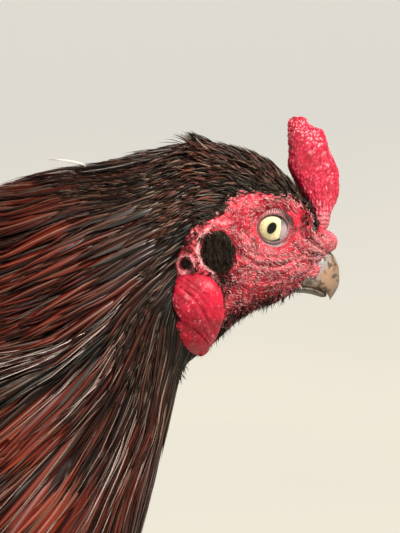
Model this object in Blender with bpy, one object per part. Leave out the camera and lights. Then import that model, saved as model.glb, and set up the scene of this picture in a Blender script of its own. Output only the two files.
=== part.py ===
"""A standing aseel cock at life size, as a still museum model.

The bird faces +X with its left side to +Y, and its soles stand on Z = 0. Sizes are metres.
The head, neck and body are one run of sections from the face to the tail, so a point on the
bird is given by a station along the run, an angle round it from the top line, and a height
above the outline. Feathers are laid in those terms, tier over tier, and so never cross it.
"""

import math
import random

import bmesh
import bpy
import numpy as np
from mathutils import Matrix, Vector

# Driving sizes of the whole bird
CENTRE_SHIFT = 0.0194  # moves the bird forward so that its box is centred over the origin
GAP = 0.0003  # clearance that touching nodes keep
EYE_X = 0.198  # middle of the eye, from which the head is measured
EYE_Z = 0.520
HOCK = Vector((0.014, 0.051, 0.127))
ANKLE = Vector((0.040, 0.054, 0.014))
STRIDE = 0.012  # the left foot stands this much ahead of the right one

# Outline sections: top point x, z, bottom point x, z, and half width. The first ten make the
# head and are measured from the eye, and the rest make the neck and body.
HEAD_SECTIONS = (
    (0.0200, -0.0075, 0.0178, -0.0112, 0.0028),
    (0.0195, -0.0030, 0.0142, -0.0152, 0.0074),
    (0.0172, 0.0030, 0.0106, -0.0190, 0.0110),
    (0.0128, 0.0100, 0.0066, -0.0224, 0.0146),
    (0.0065, 0.0168, 0.0015, -0.0252, 0.0174),
    (-0.0010, 0.0222, -0.0050, -0.0277, 0.0192),
    (-0.0100, 0.0266, -0.0110, -0.0315, 0.0202),
    (-0.0190, 0.0293, -0.0175, -0.0370, 0.0212),
    (-0.0280, 0.0293, -0.0240, -0.0425, 0.0226),
    (-0.0370, 0.0278, -0.0300, -0.0478, 0.0245),
)
BODY_SECTIONS = (
    (0.140, 0.5410, 0.163, 0.4550, 0.0280),
    (0.116, 0.5360, 0.157, 0.4320, 0.0340),
    (0.092, 0.5240, 0.150, 0.4080, 0.0410),
    (0.068, 0.5000, 0.143, 0.3840, 0.0490),
    (0.046, 0.4680, 0.136, 0.3580, 0.0580),
    (0.026, 0.4340, 0.127, 0.3300, 0.0670),
    (0.005, 0.4030, 0.113, 0.3010, 0.0740),
    (-0.021, 0.3760, 0.090, 0.2700, 0.0780),
    (-0.048, 0.3500, 0.058, 0.2430, 0.0770),
    (-0.074, 0.3240, 0.018, 0.2230, 0.0710),
    (-0.098, 0.2980, -0.028, 0.2150, 0.0590),
    (-0.118, 0.2740, -0.068, 0.2190, 0.0430),
    (-0.134, 0.2540, -0.102, 0.2280, 0.0270),
)
# The tail continues the run as a drooping tent of feathers.
TAIL_SECTIONS = (
    (-0.152, 0.2400, -0.121, 0.2120, 0.0260),
    (-0.182, 0.2200, -0.149, 0.1840, 0.0270),
    (-0.216, 0.1940, -0.181, 0.1540, 0.0260),
    (-0.250, 0.1640, -0.215, 0.1230, 0.0220),
    (-0.280, 0.1310, -0.248, 0.0950, 0.0150),
)
SECTIONS = np.array(
    [(a + EYE_X, b + EYE_Z, c + EYE_X, d + EYE_Z, w) for a, b, c, d, w in HEAD_SECTIONS]
    + list(BODY_SECTIONS)
    + list(TAIL_SECTIONS)
)
NECK_STATION = 9.0  # seam of head and neck
TORSO_STATION = 14.2  # seam of neck and torso
RUMP_STATION = 22.0  # seam of torso and tail
TAIL_STATION = 27.0  # last station of the tail's tent

# Plumage
CAPE_DEPTH = 0.0075  # from the hackle's outline down to the core of the neck
VANE_THICK = 0.0012

# Head
EYEBALL_R = 0.0070
EYEBALL_Y = 0.0114
LID_R = 0.0058
LID_THICK = 0.0010
EAR = (-0.0186, -0.0079)  # ear opening, from the eye
EAR_R = 0.0066

# Colours taken from the photograph by eye, as linear values
COLOURS = {
    "skin": ((0.45, 0.035, 0.045), 0.55),
    "comb": ((0.55, 0.022, 0.045), 0.5),
    "horn": ((0.42, 0.26, 0.14), 0.35),
    "iris": ((0.75, 0.60, 0.30), 0.1),
    "hackle": ((0.115, 0.030, 0.014), 0.4),
    "black": ((0.012, 0.014, 0.013), 0.35),
    "wing": ((0.060, 0.020, 0.012), 0.4),
    "leg": ((0.55, 0.42, 0.16), 0.45),
    "claw": ((0.10, 0.08, 0.06), 0.35),
}


def clear_scene():
    """Removes whatever the scene holds."""
    for obj in list(bpy.data.objects):
        bpy.data.objects.remove(obj)


def material(name):
    """One Principled material for each named finish."""
    made = bpy.data.materials.get(name)
    if made:
        return made
    colour, roughness = COLOURS[name]
    made = bpy.data.materials.new(name)
    made.use_nodes = True
    shader = made.node_tree.nodes["Principled BSDF"]
    shader.inputs["Base Color"].default_value = (*colour, 1.0)
    shader.inputs["Roughness"].default_value = roughness
    shader.inputs["Metallic"].default_value = 0.0
    return made


def smoothstep(low, high, value):
    """0 below low, 1 above high, and a smooth turn between them."""
    t = min(max((value - low) / (high - low), 0.0), 1.0)
    return t * t * (3 - 2 * t)


def section(station):
    """Outline section at any station, by a Catmull-Rom curve through the rows."""
    last = len(SECTIONS) - 1
    station = min(max(station, 0.0), last)
    i = min(int(station), last - 1)
    t = station - i
    p0, p1 = SECTIONS[max(i - 1, 0)], SECTIONS[i]
    p2, p3 = SECTIONS[i + 1], SECTIONS[min(i + 2, last)]
    return 0.5 * (
        2 * p1 + (p2 - p0) * t + (2 * p0 - 5 * p1 + 4 * p2 - p3) * t**2
        + (3 * p1 - p0 - 3 * p2 + p3) * t**3
    )


def outline_point(station, angle, height=0.0):
    """Point of the bird: angle 0 is the top line, 90 degrees its left side."""
    top_x, top_z, low_x, low_z, half_width = section(station)
    centre = Vector(((top_x + low_x) / 2, 0, (top_z + low_z) / 2))
    up = Vector((top_x - low_x, 0, top_z - low_z))
    half_depth = up.length / 2
    up.normalize()
    across = (half_width + height) * math.sin(angle)
    return centre + up * ((half_depth + height) * math.cos(angle)) + Vector((0, across, 0))


def speed_along(station, angle):
    """Metres of surface for one station."""
    step = 0.02
    return (outline_point(station + step, angle) - outline_point(station - step, angle)).length / (2 * step)


def speed_round(station, angle):
    """Metres of surface for one radian."""
    step = 0.02
    return (outline_point(station, angle + step) - outline_point(station, angle - step)).length / (2 * step)


def flow(station, angle, distance):
    """Station reached by going this far back along the bird's lie."""
    steps = 8
    for _ in range(steps):
        station += distance / steps / speed_along(station, angle)
    return station


def loft(name, rings, finish, tip=None):
    """Closed mesh through rings of equal count, which ends in a flat cap or in a point."""
    bm = bmesh.new()
    rows = [[bm.verts.new(p) for p in ring] for ring in rings]
    count = len(rows[0])
    for a, b in zip(rows, rows[1:]):
        for i in range(count):
            j = (i + 1) % count
            bm.faces.new((a[i], a[j], b[j]))
            bm.faces.new((a[i], b[j], b[i]))
    bm.faces.new(reversed(rows[0]))
    if tip is None:
        bm.faces.new(rows[-1])
    else:
        point = bm.verts.new(tip)
        for i in range(count):
            bm.faces.new((rows[-1][i], rows[-1][(i + 1) % count], point))
    bmesh.ops.recalc_face_normals(bm, faces=bm.faces)
    mesh = bpy.data.meshes.new(name)
    bm.to_mesh(mesh)
    bm.free()
    mesh.materials.append(material(finish))
    return bpy.data.objects.new(name, mesh)


class Model:
    """The collections, the parent empty, and the few operations that every node uses."""

    def __init__(self):
        self.parts = bpy.data.collections.new("aseel_cock")
        self.cutters = bpy.data.collections.new("cutters")
        bpy.context.scene.collection.children.link(self.parts)
        bpy.context.scene.collection.children.link(self.cutters)
        self.root = bpy.data.objects.new("stance", None)
        self.root.location = (CENTRE_SHIFT, 0, 0)
        self.parts.objects.link(self.root)

    def add(self, obj):
        """Puts a finished node in the model."""
        self.parts.objects.link(obj)
        obj.parent = self.root
        return obj

    def cut(self, obj, cutter):
        """Cuts one node by a hidden tool, which is kept in the cutters' collection."""
        if cutter.name not in self.cutters.objects:
            self.cutters.objects.link(cutter)
            cutter.parent = self.root
            cutter.hide_render = True
            cutter.display_type = "WIRE"
        modifier = obj.modifiers.new("cut_" + cutter.name, "BOOLEAN")
        modifier.operation = "DIFFERENCE"
        modifier.solver = "MANIFOLD"
        modifier.object = cutter

    def fuse(self, obj, pieces):
        """Joins a node's pieces by one Boolean union, keeps its largest surface and adds it."""
        scratch = bpy.data.collections.new(obj.name + "_pieces")
        bpy.context.scene.collection.children.link(scratch)
        bpy.context.scene.collection.objects.link(obj)
        for piece in pieces:
            scratch.objects.link(piece)
        modifier = obj.modifiers.new("union", "BOOLEAN")
        modifier.operation = "UNION"
        modifier.solver = "MANIFOLD"
        modifier.operand_type = "COLLECTION"
        modifier.collection = scratch
        bpy.context.view_layer.update()
        graph = bpy.context.evaluated_depsgraph_get()
        mesh = bpy.data.meshes.new_from_object(obj.evaluated_get(graph))
        obj.modifiers.clear()
        obj.data = mesh
        for piece in list(scratch.objects):
            bpy.data.objects.remove(piece)
        bpy.data.collections.remove(scratch)
        bpy.context.scene.collection.objects.unlink(obj)
        keep_largest(mesh)
        return self.add(obj)


def settle(model):
    """Applies each node's cuts, so that no scrap which they part off is left, and drops the tools."""
    bpy.context.view_layer.update()
    graph = bpy.context.evaluated_depsgraph_get()
    nodes = [obj for obj in model.parts.objects if obj.type == "MESH" and obj.modifiers]
    meshes = [bpy.data.meshes.new_from_object(obj.evaluated_get(graph)) for obj in nodes]
    for obj, mesh in zip(nodes, meshes):
        obj.modifiers.clear()
        obj.data = mesh
        keep_largest(mesh)
    for tool in list(model.cutters.objects):
        bpy.data.objects.remove(tool)
    bpy.data.collections.remove(model.cutters)


def keep_largest(mesh):
    """Leaves only the closed surface that has the most volume."""
    bm = bmesh.new()
    bm.from_mesh(mesh)
    seen, shells = set(), []
    for start in bm.faces:
        if start in seen:
            continue
        shell, front = [], [start]
        seen.add(start)
        while front:
            face = front.pop()
            shell.append(face)
            for edge in face.edges:
                for other in edge.link_faces:
                    if other not in seen:
                        seen.add(other)
                        front.append(other)
        shells.append(shell)
    if len(shells) > 1:
        volume = [sum(f.verts[0].co.dot(f.normal) * f.calc_area() for f in s) for s in shells]
        best = volume.index(max(volume))
        loose = [f for i, s in enumerate(shells) if i != best for f in s]
        bmesh.ops.delete(bm, geom=loose, context="FACES")
        bmesh.ops.delete(bm, geom=[v for v in bm.verts if not v.link_faces], context="VERTS")
    bm.to_mesh(mesh)
    bm.free()


def ellipsoid(name, centre, radii, finish, segments=14, rings=8, turn=0.0):
    """A round form, turned about Y by an angle in degrees."""
    mesh = bpy.data.meshes.new(name)
    bm = bmesh.new()
    bmesh.ops.create_uvsphere(bm, u_segments=segments, v_segments=rings, radius=1.0)
    place = Matrix.Translation(centre) @ Matrix.Rotation(math.radians(turn), 4, "Y")
    bmesh.ops.transform(bm, matrix=place @ Matrix.Diagonal((*radii, 1.0)), verts=bm.verts)
    bm.to_mesh(mesh)
    bm.free()
    mesh.materials.append(material(finish))
    return bpy.data.objects.new(name, mesh)


def ring_of(station, height, count, relief=None):
    """One ring of points round the bird, with an optional side relief."""
    ring = []
    for i in range(count):
        angle = 2 * math.pi * i / count
        point = outline_point(station, angle, height(station, angle))
        if relief:
            point.y += relief(point.x - EYE_X, point.z - EYE_Z) * math.sin(angle)
        ring.append(point)
    return ring


def vane(name, place, length, widths, finish, thick=VANE_THICK):
    """A feather vane with a raised shaft: place maps distance along, across and up to a point."""
    count = len(widths)
    rings = []
    for k, width in enumerate(widths):
        along = length * k / count
        half = width / 2
        rings.append([place(along, -half, 0.0), place(along, 0.0, thick), place(along, half, 0.0)])
    return loft(name, rings, finish, tip=place(length, 0.0, thick * 0.3))


def coat_place(station, angle, length, root_height, tip_height, drift=0.0, shingle=0.0, droop=0.5):
    """Where a feather laid on the bird goes: it rises from its root height to its tip height."""
    table = [station]
    steps = 12
    for _ in range(steps):
        table.append(flow(table[-1], angle, length / steps))

    def place(along, across, up):
        share = min(along / length, 1.0)
        position = share * steps
        i = min(int(position), steps - 1)
        here = table[i] + (table[i + 1] - table[i]) * (position - i)
        rise = root_height + (tip_height - root_height) * share**droop
        turn = (across + drift * share * share) / speed_round(here, angle)
        lean = shingle * across
        return outline_point(here, angle + turn, rise + up + lean)

    return place


def torso_height(station, _angle):
    """The torso lies lower where the cape of the neck covers it."""
    return -CAPE_DEPTH * (1 - smoothstep(TORSO_STATION, TORSO_STATION + 2.6, station)) - 0.0006


def neck_height(station, _angle):
    """The neck's core is flush with the head and soon lies deep under its hackle."""
    return -0.0012 - (CAPE_DEPTH - 0.0012) * smoothstep(NECK_STATION, NECK_STATION + 1.7, station)


def skull_height(_station, _angle):
    """The head is bare or close feathered, so its solid is its outline."""
    return 0.0


def bump(distance, width):
    """A round swell that fades with distance."""
    return math.exp(-((distance / width) ** 2))


def face_relief(x, z):
    """Side relief of the face, measured from the eye: brow, orbit, cheek, ear rim and lips."""
    from_eye = math.hypot(x, z)
    upper = smoothstep(-0.004, 0.006, z + 0.25 * x)
    rise = 0.0022 * bump(from_eye - 0.0112, 0.0030) * upper
    rise += 0.0008 * bump(from_eye - 0.0100, 0.0024) * (1 - upper)
    rise -= 0.0034 * bump(from_eye, 0.0072)
    rise += 0.0012 * bump(math.hypot(x + 0.008, (z + 0.017) * 0.8), 0.0085)
    from_ear = math.hypot(x - EAR[0], z - EAR[1])
    rise += 0.0016 * bump(from_ear - 0.0086, 0.0020)
    rise += 0.0014 * bump(math.hypot(x - 0.0100, (z + 0.0150) * 2.2), 0.0050)
    return rise


def head_core(name, swell=0.0):
    """The head's form as a fine grid; swell makes the tool that others are cut with."""
    stations = np.concatenate([np.linspace(0.0, 3.0, 7), np.linspace(3.4, NECK_STATION, 16)])
    rings = [ring_of(s, lambda a, b: skull_height(a, b) + swell, 28, face_relief) for s in stations]
    if swell:
        top_x, top_z, low_x, low_z, _ = section(NECK_STATION)
        back = Vector((low_z - top_z, 0, top_x - low_x)).normalized()
        rings.append([p + back * (swell * 4) for p in rings[-1]])
    return loft(name, rings, "skin")


def lid(name, side):
    """A soft ring of lid round the eye, hugging the eyeball."""
    reach = EYEBALL_R + GAP + LID_THICK * 0.75
    out = EYEBALL_Y + math.sqrt(reach**2 - LID_R**2)
    bpy.ops.mesh.primitive_torus_add(
        major_segments=18, minor_segments=5, major_radius=LID_R, minor_radius=LID_THICK,
        location=(EYE_X, side * out, EYE_Z), rotation=(math.pi / 2, 0, 0),
    )
    made = bpy.context.object
    made.data.transform(made.matrix_world)
    made.matrix_world = Matrix.Identity(4)
    for holder in made.users_collection:
        holder.objects.unlink(made)
    made.name = name
    made.data.materials.append(material("skin"))
    return made


def build_head(model):
    """Head with lids, ear cups, cere and lips, and the eyes in their sockets."""
    pieces = [ellipsoid("cere", (EYE_X + 0.0176, 0, EYE_Z - 0.0042), (0.0058, 0.0068, 0.0038), "skin", 14, 7, 16.0)]
    for side, word in ((1, "left"), (-1, "right")):
        pieces.append(lid("lid_" + word, side))
        pieces.append(ellipsoid(
            "lip_" + word, (EYE_X + 0.0080, side * 0.0092, EYE_Z - 0.0176), (0.0058, 0.0030, 0.0024), "skin",
            8, 6, 24.0,
        ))
    head = model.fuse(head_core("head"), pieces)
    for side, word in ((1, "left"), (-1, "right")):
        centre = (EYE_X, side * EYEBALL_Y, EYE_Z)
        socket = EYEBALL_R + GAP
        model.cut(head, ellipsoid("socket_" + word, centre, (socket,) * 3, "skin", 14, 9))
        cup = (EYE_X + EAR[0], side * 0.0235, EYE_Z + EAR[1])
        model.cut(head, ellipsoid("ear_cup_" + word, cup, (EAR_R * 0.85, 0.0060, EAR_R), "skin", 12, 8))
        model.add(ellipsoid("eye_" + word, centre, (EYEBALL_R,) * 3, "iris", 14, 9))
    return head


BEAK_TOP = (  # culmen x, z, cutting edge x, z, and half width, from the eye
    (0.0090, -0.0040, 0.0020, -0.0180, 0.0076),
    (0.0165, -0.0050, 0.0100, -0.0200, 0.0074),
    (0.0208, -0.0078, 0.0138, -0.0205, 0.0066),
    (0.0233, -0.0115, 0.0166, -0.0208, 0.0056),
    (0.0240, -0.0158, 0.0188, -0.0218, 0.0040),
    (0.0236, -0.0198, 0.0202, -0.0230, 0.0022),
)
BEAK_TIP = (0.0208, -0.0245)
BEAK_LOW = (
    (0.0030, -0.0188, 0.0030, -0.0228, 0.0070),
    (0.0095, -0.0198, 0.0095, -0.0227, 0.0064),
    (0.0135, -0.0203, 0.0130, -0.0228, 0.0052),
    (0.0163, -0.0209, 0.0158, -0.0231, 0.0036),
    (0.0183, -0.0222, 0.0178, -0.0236, 0.0019),
)
BEAK_LOW_TIP = (0.0195, -0.0232)
NOSTRIL = (0.0188, 0.0058, -0.0108)


def beak_ring(row, swell, flat_top):
    """Cross-section of a beak half: a ridge on one side and a flatter cutting edge on the other."""
    top = Vector((row[0] + EYE_X, 0, row[1] + EYE_Z))
    low = Vector((row[2] + EYE_X, 0, row[3] + EYE_Z))
    half = (top - low) / 2
    ring = []
    for i in range(12):
        angle = 2 * math.pi * i / 12
        rise = math.cos(angle)
        broad = 0.76 + 0.24 * (rise if flat_top else -rise)
        grow = half.normalized() * (swell * rise)
        wide = (row[4] * broad + swell) * math.copysign(abs(math.sin(angle)) ** 0.8, math.sin(angle))
        ring.append((top + low) / 2 + half * rise + grow + Vector((0, wide, 0)))
    return ring


def beak(name, rows, tip, flat_top=False, swell=0.0, finish="horn"):
    """One half of the beak."""
    point = Vector((tip[0] + EYE_X, 0, tip[1] + EYE_Z))
    return loft(name, [beak_ring(r, swell, flat_top) for r in rows], finish, tip=point)


def build_beak(model, head):
    """Both halves of the beak, set in the face."""
    model.add(beak("beak_upper", BEAK_TOP, BEAK_TIP))
    model.add(beak("beak_lower", BEAK_LOW, BEAK_LOW_TIP, flat_top=True))
    model.cut(head, beak("beak_upper_tool", BEAK_TOP, BEAK_TIP, swell=GAP))
    model.cut(head, beak("beak_lower_tool", BEAK_LOW, BEAK_LOW_TIP, flat_top=True, swell=GAP))
    model.cut(bpy.data.objects["beak_lower"], bpy.data.objects["beak_upper_tool"])
    for side, word in ((1, "left"), (-1, "right")):
        place = (EYE_X + NOSTRIL[0], side * NOSTRIL[1], EYE_Z + NOSTRIL[2])
        slot = ellipsoid("nostril_" + word, place, (0.0019, 0.0016, 0.0007), "horn", 10, 6, 40.0)
        model.cut(head, slot)
        model.cut(bpy.data.objects["beak_upper"], slot)


COMB_LEVELS = (  # height and middle from the eye, half length and half thickness
    (0.0014, 0.0175, 0.0018, 0.0024),
    (0.0032, 0.0178, 0.0036, 0.0036),
    (0.0065, 0.0178, 0.0050, 0.0042),
    (0.0117, 0.0170, 0.0066, 0.0046),
    (0.0176, 0.0156, 0.0077, 0.0047),
    (0.0222, 0.0144, 0.0077, 0.0045),
    (0.0270, 0.0137, 0.0068, 0.0040),
    (0.0305, 0.0131, 0.0059, 0.0036),
    (0.0332, 0.0120, 0.0046, 0.0032),
    (0.0350, 0.0103, 0.0030, 0.0026),
    (0.0372, 0.0099, 0.0022, 0.0020),
)
COMB_PEAK = (0.0098, 0.0386)
COMB_LUMPS = (  # x, y, z from the eye, and radii
    (0.0190, 0.0, 0.0285, 0.0030, 0.0032, 0.0034),
    (0.0208, 0.0, 0.0180, 0.0030, 0.0040, 0.0042),
    (0.0200, 0.0024, 0.0088, 0.0036, 0.0030, 0.0044),
    (0.0200, -0.0024, 0.0088, 0.0036, 0.0030, 0.0044),
    (0.0122, 0.0030, 0.0190, 0.0036, 0.0024, 0.0058),
    (0.0122, -0.0030, 0.0190, 0.0036, 0.0024, 0.0058),
)


def build_comb(model):
    """The upright comb, a thick blade with lobes, set on the forehead."""
    rings = []
    for up, middle, half_length, half_thick in COMB_LEVELS:
        ring = []
        for i in range(10):
            angle = 2 * math.pi * i / 10
            knob = 1 + 0.04 * math.sin(3 * angle + up * 700)
            ring.append(Vector((
                EYE_X + middle + half_length * knob * math.cos(angle),
                half_thick * knob * math.sin(angle),
                EYE_Z + up,
            )))
        rings.append(ring)
    blade = loft("comb", rings, "comb", tip=Vector((EYE_X + COMB_PEAK[0], 0, EYE_Z + COMB_PEAK[1])))
    pieces = [
        ellipsoid(f"comb_lump_{i}", (EYE_X + x, y, EYE_Z + z), (a, b, c), "comb", 8, 6)
        for i, (x, y, z, a, b, c) in enumerate(COMB_LUMPS)
    ]
    comb = model.fuse(blade, pieces)
    model.cut(comb, bpy.data.objects["head_tool"])


LOBE_LEVELS = (  # drop from the eye, middle along the head, half length, stand-off and half thickness
    (0.0160, -0.0240, 0.0026, 0.0002, 0.0014),
    (0.0182, -0.0248, 0.0060, 0.0014, 0.0022),
    (0.0220, -0.0250, 0.0080, 0.0026, 0.0027),
    (0.0270, -0.0244, 0.0080, 0.0034, 0.0029),
    (0.0320, -0.0235, 0.0071, 0.0036, 0.0027),
    (0.0362, -0.0226, 0.0048, 0.0034, 0.0023),
    (0.0395, -0.0220, 0.0022, 0.0030, 0.0015),
)
LOBE_FOLD = (
    (0.0320, -0.0302, 0.0016, 0.0000, 0.0012),
    (0.0350, -0.0294, 0.0036, 0.0006, 0.0018),
    (0.0385, -0.0276, 0.0044, 0.0012, 0.0020),
    (0.0412, -0.0256, 0.0034, 0.0012, 0.0017),
    (0.0430, -0.0246, 0.0014, 0.0008, 0.0010),
)


def face_side(x, z):
    """Half width of the head at a place of the side view, both from the eye."""
    best, found = 9.0, 0.0
    for station in np.linspace(2.0, NECK_STATION + 1.0, 60):
        top_x, top_z, low_x, low_z, half_width = section(station)
        centre = ((top_x + low_x) / 2 - EYE_X, (top_z + low_z) / 2 - EYE_Z)
        up = Vector((top_x - low_x, top_z - low_z))
        half = up.length / 2
        up.normalize()
        along = (x - centre[0]) * up.y - (z - centre[1]) * up.x
        high = ((x - centre[0]) * up.x + (z - centre[1]) * up.y) / half
        if abs(along) < best and abs(high) < 1:
            best, found = abs(along), half_width * math.sqrt(1 - high * high)
    return found


def lobe_leaf(name, levels, side, pleats):
    """One red leaf of the ear lobe, hung on the side of the head with shallow pleats."""
    rings = []
    count = 10
    for drop, middle, half_length, off, thick in levels:
        ring = []
        for i in range(count):
            angle = 2 * math.pi * i / count
            x = middle + half_length * math.cos(angle)
            pleat = 0.0005 * pleats * math.cos(3 * math.pi * math.cos(angle) + 60 * drop)
            out = face_side(middle, -drop) + off + thick * math.sin(angle) + pleat
            ring.append(Vector((EYE_X + x, side * out, EYE_Z - drop)))
        rings.append(ring)
    return loft(name, rings, "comb")


def build_lobes(model):
    """Ear lobes, each a broad leaf over a smaller fold."""
    for side, word in ((1, "left"), (-1, "right")):
        lobe = model.fuse(
            lobe_leaf("earlobe_" + word, LOBE_LEVELS, side, 1.0),
            [lobe_leaf("earlobe_fold_" + word, LOBE_FOLD, side, 0.5)],
        )
        model.cut(lobe, bpy.data.objects["head_tool"])
        model.cut(lobe, bpy.data.objects["neck_tool"])


def core(name, first, last, count, height, finish, rings=12, ease=0.0):
    """A stretch of the body between two stations."""
    stations = np.linspace(first, last, rings)
    made = [ring_of(s, height, count) for s in stations]
    if ease:
        top_x, top_z, low_x, low_z, _ = section(first)
        away = Vector((low_z - top_z, 0, top_x - low_x)).normalized()
        made[0] = [p + away * ease for p in made[0]]
    return loft(name, made, finish)


def hackle_hem(angle):
    """Station at which the hackle ends: it drapes far down the back and stops short of the shoulders."""
    turn = abs(math.remainder(angle, 2 * math.pi))
    back = 17.3 - 2.5 * smoothstep(0.55, 1.25, turn)
    return back + 0.9 * smoothstep(1.95, 2.5, turn)


def hackle_rows():
    """Each tier of the hackle: station of its roots, feathers in it, and their length and width."""
    tiers = 7
    for tier in range(tiers):
        share = tier / (tiers - 1)
        station = 9.2 + 4.2 * share
        length = 0.036 + 0.046 * math.sin(min(share * 1.35, 1.0) * math.pi / 2)
        yield tier, station, 13 + tier % 2, length, 0.0105 + 0.0030 * share


def build_neck(model):
    """The neck's core, and its hackle in tiers of long pointed vanes."""
    draw = random.Random(11)
    pieces = []
    for tier, station, count, length, width in hackle_rows():
        for i in range(count):
            turn = 2 * math.pi * (i + 0.5 * (tier % 2)) / count
            own = length * draw.uniform(0.93, 1.04)
            root = station + draw.uniform(-0.08, 0.08)
            hem = hackle_hem(turn) + draw.uniform(-0.12, 0.12)
            while flow(root, turn, own) > hem and own > 0.028:
                own -= 0.002
            place = coat_place(
                root, turn, own, neck_height(root, turn) - 0.0022, 0.0008 + 0.0008 * draw.random(),
                drift=draw.uniform(-0.004, 0.004), droop=0.62,
            )
            widths = (width * 0.55, width, width * 0.92, width * 0.55)
            pieces.append(vane(f"hackle_{tier}_{i}", place, own, widths, "hackle"))
    neck = core("neck", NECK_STATION, TORSO_STATION, 20, neck_height, "hackle", 8, ease=GAP)
    model.fuse(neck, pieces)


def build_torso(model):
    """The torso, and the long saddle feathers that hang over the rump."""
    draw = random.Random(23)
    pieces = []
    tiers = 3
    for tier in range(tiers):
        station = 18.6 + 0.85 * tier
        count = 6 + tier % 2
        for i in range(count):
            turn = (i - (count - 1) / 2) * 0.26 * (1 + 0.10 * tier)
            own = (0.058 + 0.006 * tier) * draw.uniform(0.95, 1.05)
            place = coat_place(
                station, turn, own, -0.0030, 0.0042 + 0.0004 * tier,
                drift=math.copysign(0.016, turn) * abs(turn), droop=0.75,
            )
            widths = (0.0065, 0.0105, 0.0095, 0.0055)
            pieces.append(vane(f"saddle_{tier}_{i}", place, own, widths, "hackle"))
    torso = core("torso", TORSO_STATION, RUMP_STATION, 24, torso_height, "black", 13, ease=GAP)
    model.fuse(torso, pieces)


WING_FRONT = 14.95  # station of the shoulder
WING_TURN = math.radians(88)  # angle of the wing's middle line, from the top line
WING_RISE = math.radians(8)  # by which that line rises toward the wing tip
WING_REACH = 0.232
WING_HALF = 0.042  # half width over which the wing bows down to its edges
WING_TIERS = (  # name, count, start, half spread, length, width, height, finish, fan, sweep, root depth
    ("primary", 4, 0.084, 0.012, 0.134, 0.019, 0.0028, "black", -0.006, 0.010, 0.0),
    ("secondary", 6, 0.078, 0.029, 0.104, 0.022, 0.0062, "wing", -0.026, -0.006, 0.0015),
    ("greater_covert", 6, 0.048, 0.034, 0.064, 0.020, 0.0100, "black", -0.014, 0.0, 0.0030),
    ("lesser_covert", 5, 0.018, 0.030, 0.058, 0.022, 0.0128, "hackle", -0.010, 0.0, 0.0066),
)


def wing_place(side, base):
    """Where a distance along, across and up from the folded wing's middle line is on the bird."""
    table = [WING_FRONT]
    steps = 20
    for _ in range(steps):
        table.append(flow(table[-1], WING_TURN, WING_REACH / steps))

    def place(along, across, up):
        position = min(max(along / WING_REACH * steps, 0.0), steps - 1e-6)
        i = int(position)
        here = table[i] + (table[i + 1] - table[i]) * (position - i)
        middle = WING_TURN - WING_RISE * along / WING_REACH
        turn = middle - across / speed_round(here, WING_TURN)
        lift = max(0.0, torso_height(here, 0.0) + 0.0006)
        return outline_point(here, side * turn, base + lift + up)

    return place


def wing_core(name, side):
    """The folded wing's body: thick at the shoulder, thin behind."""
    place = wing_place(side, -0.0010)
    rings = []
    count = 9
    for k in range(count):
        share = k / (count - 1)
        along = 0.002 + 0.122 * share
        half = 0.045 * math.sin(math.pi * (0.13 + 0.57 * share)) ** 0.7
        thick = 0.0145 * math.sin(math.pi * (0.10 + 0.80 * share)) ** 0.8 * (1 - 0.45 * share)
        top = [(half * math.cos(a), thick * math.sin(a)) for a in np.linspace(0, math.pi, 8)]
        low = [(-half * math.cos(a), 0.0) for a in np.linspace(0, math.pi, 6)[1:-1]]
        rings.append([place(along, across, max(up, 0.0)) for across, up in top + low])
    return loft(name, rings, "wing")


def wing_tier(side, word, pieces, tier):
    """One tier of the wing's feathers, shingled from the lower edge to the upper one."""
    name, count, start, spread, length, width, base, finish, fan, sweep, sink = tier
    place = wing_place(side, base)
    for i in range(count):
        share = i / (count - 1)
        across = -spread + 2 * spread * share
        own = length * (1 - 0.10 * abs(share - 0.5))
        lean = 0.16

        def lay(along, sideways, up, across=across, own=own, share=share):
            t = along / own
            swing = (fan * (share - 0.5) - 0.010 + sweep) * t
            rise = 0.0032 * t - 0.0022 * t * t - sink * (1 - t) ** 2
            aside = across + sideways + swing
            bow = 0.55 * base * (aside / WING_HALF) ** 2
            return place(start + along - 0.012 * share, aside, up + rise + lean * sideways - bow)

        widths = (width * 0.7, width, width * 0.95)
        pieces.append(vane(f"{name}_{word}_{i}", lay, own, widths, finish, thick=0.0011))


def build_wings(model):
    """Folded wings: primaries, secondaries, and two tiers of coverts over a thick shoulder."""
    for side, word in ((1, "left"), (-1, "right")):
        pieces = []
        for tier in WING_TIERS:
            wing_tier(side, word, pieces, tier)
        wing = model.fuse(wing_core("wing_" + word, side), pieces)
        model.cut(wing, bpy.data.objects["torso_tool"])


def stump_height(station, _angle):
    """The tail's flesh narrows to nothing between the quills."""
    return -0.0045 - 0.0150 * smoothstep(22.3, 24.0, station)


def tail_place(angle, length, root, lean, start, rise):
    """Where a tail feather lies on the drooping tent of the tail."""
    table = [start]
    steps = 12
    for _ in range(steps):
        table.append(flow(table[-1], angle, length / steps))

    def place(along, across, up):
        position = min(max(along / length, 0.0), 1.0) * steps
        i = min(int(position), steps - 1)
        here = table[i] + (table[i + 1] - table[i]) * (position - i)
        turn = across / max(speed_round(min(here, TAIL_STATION), angle), 0.012)
        return outline_point(here, angle + turn, root + rise * along / length + up + lean * across)

    return place


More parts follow.
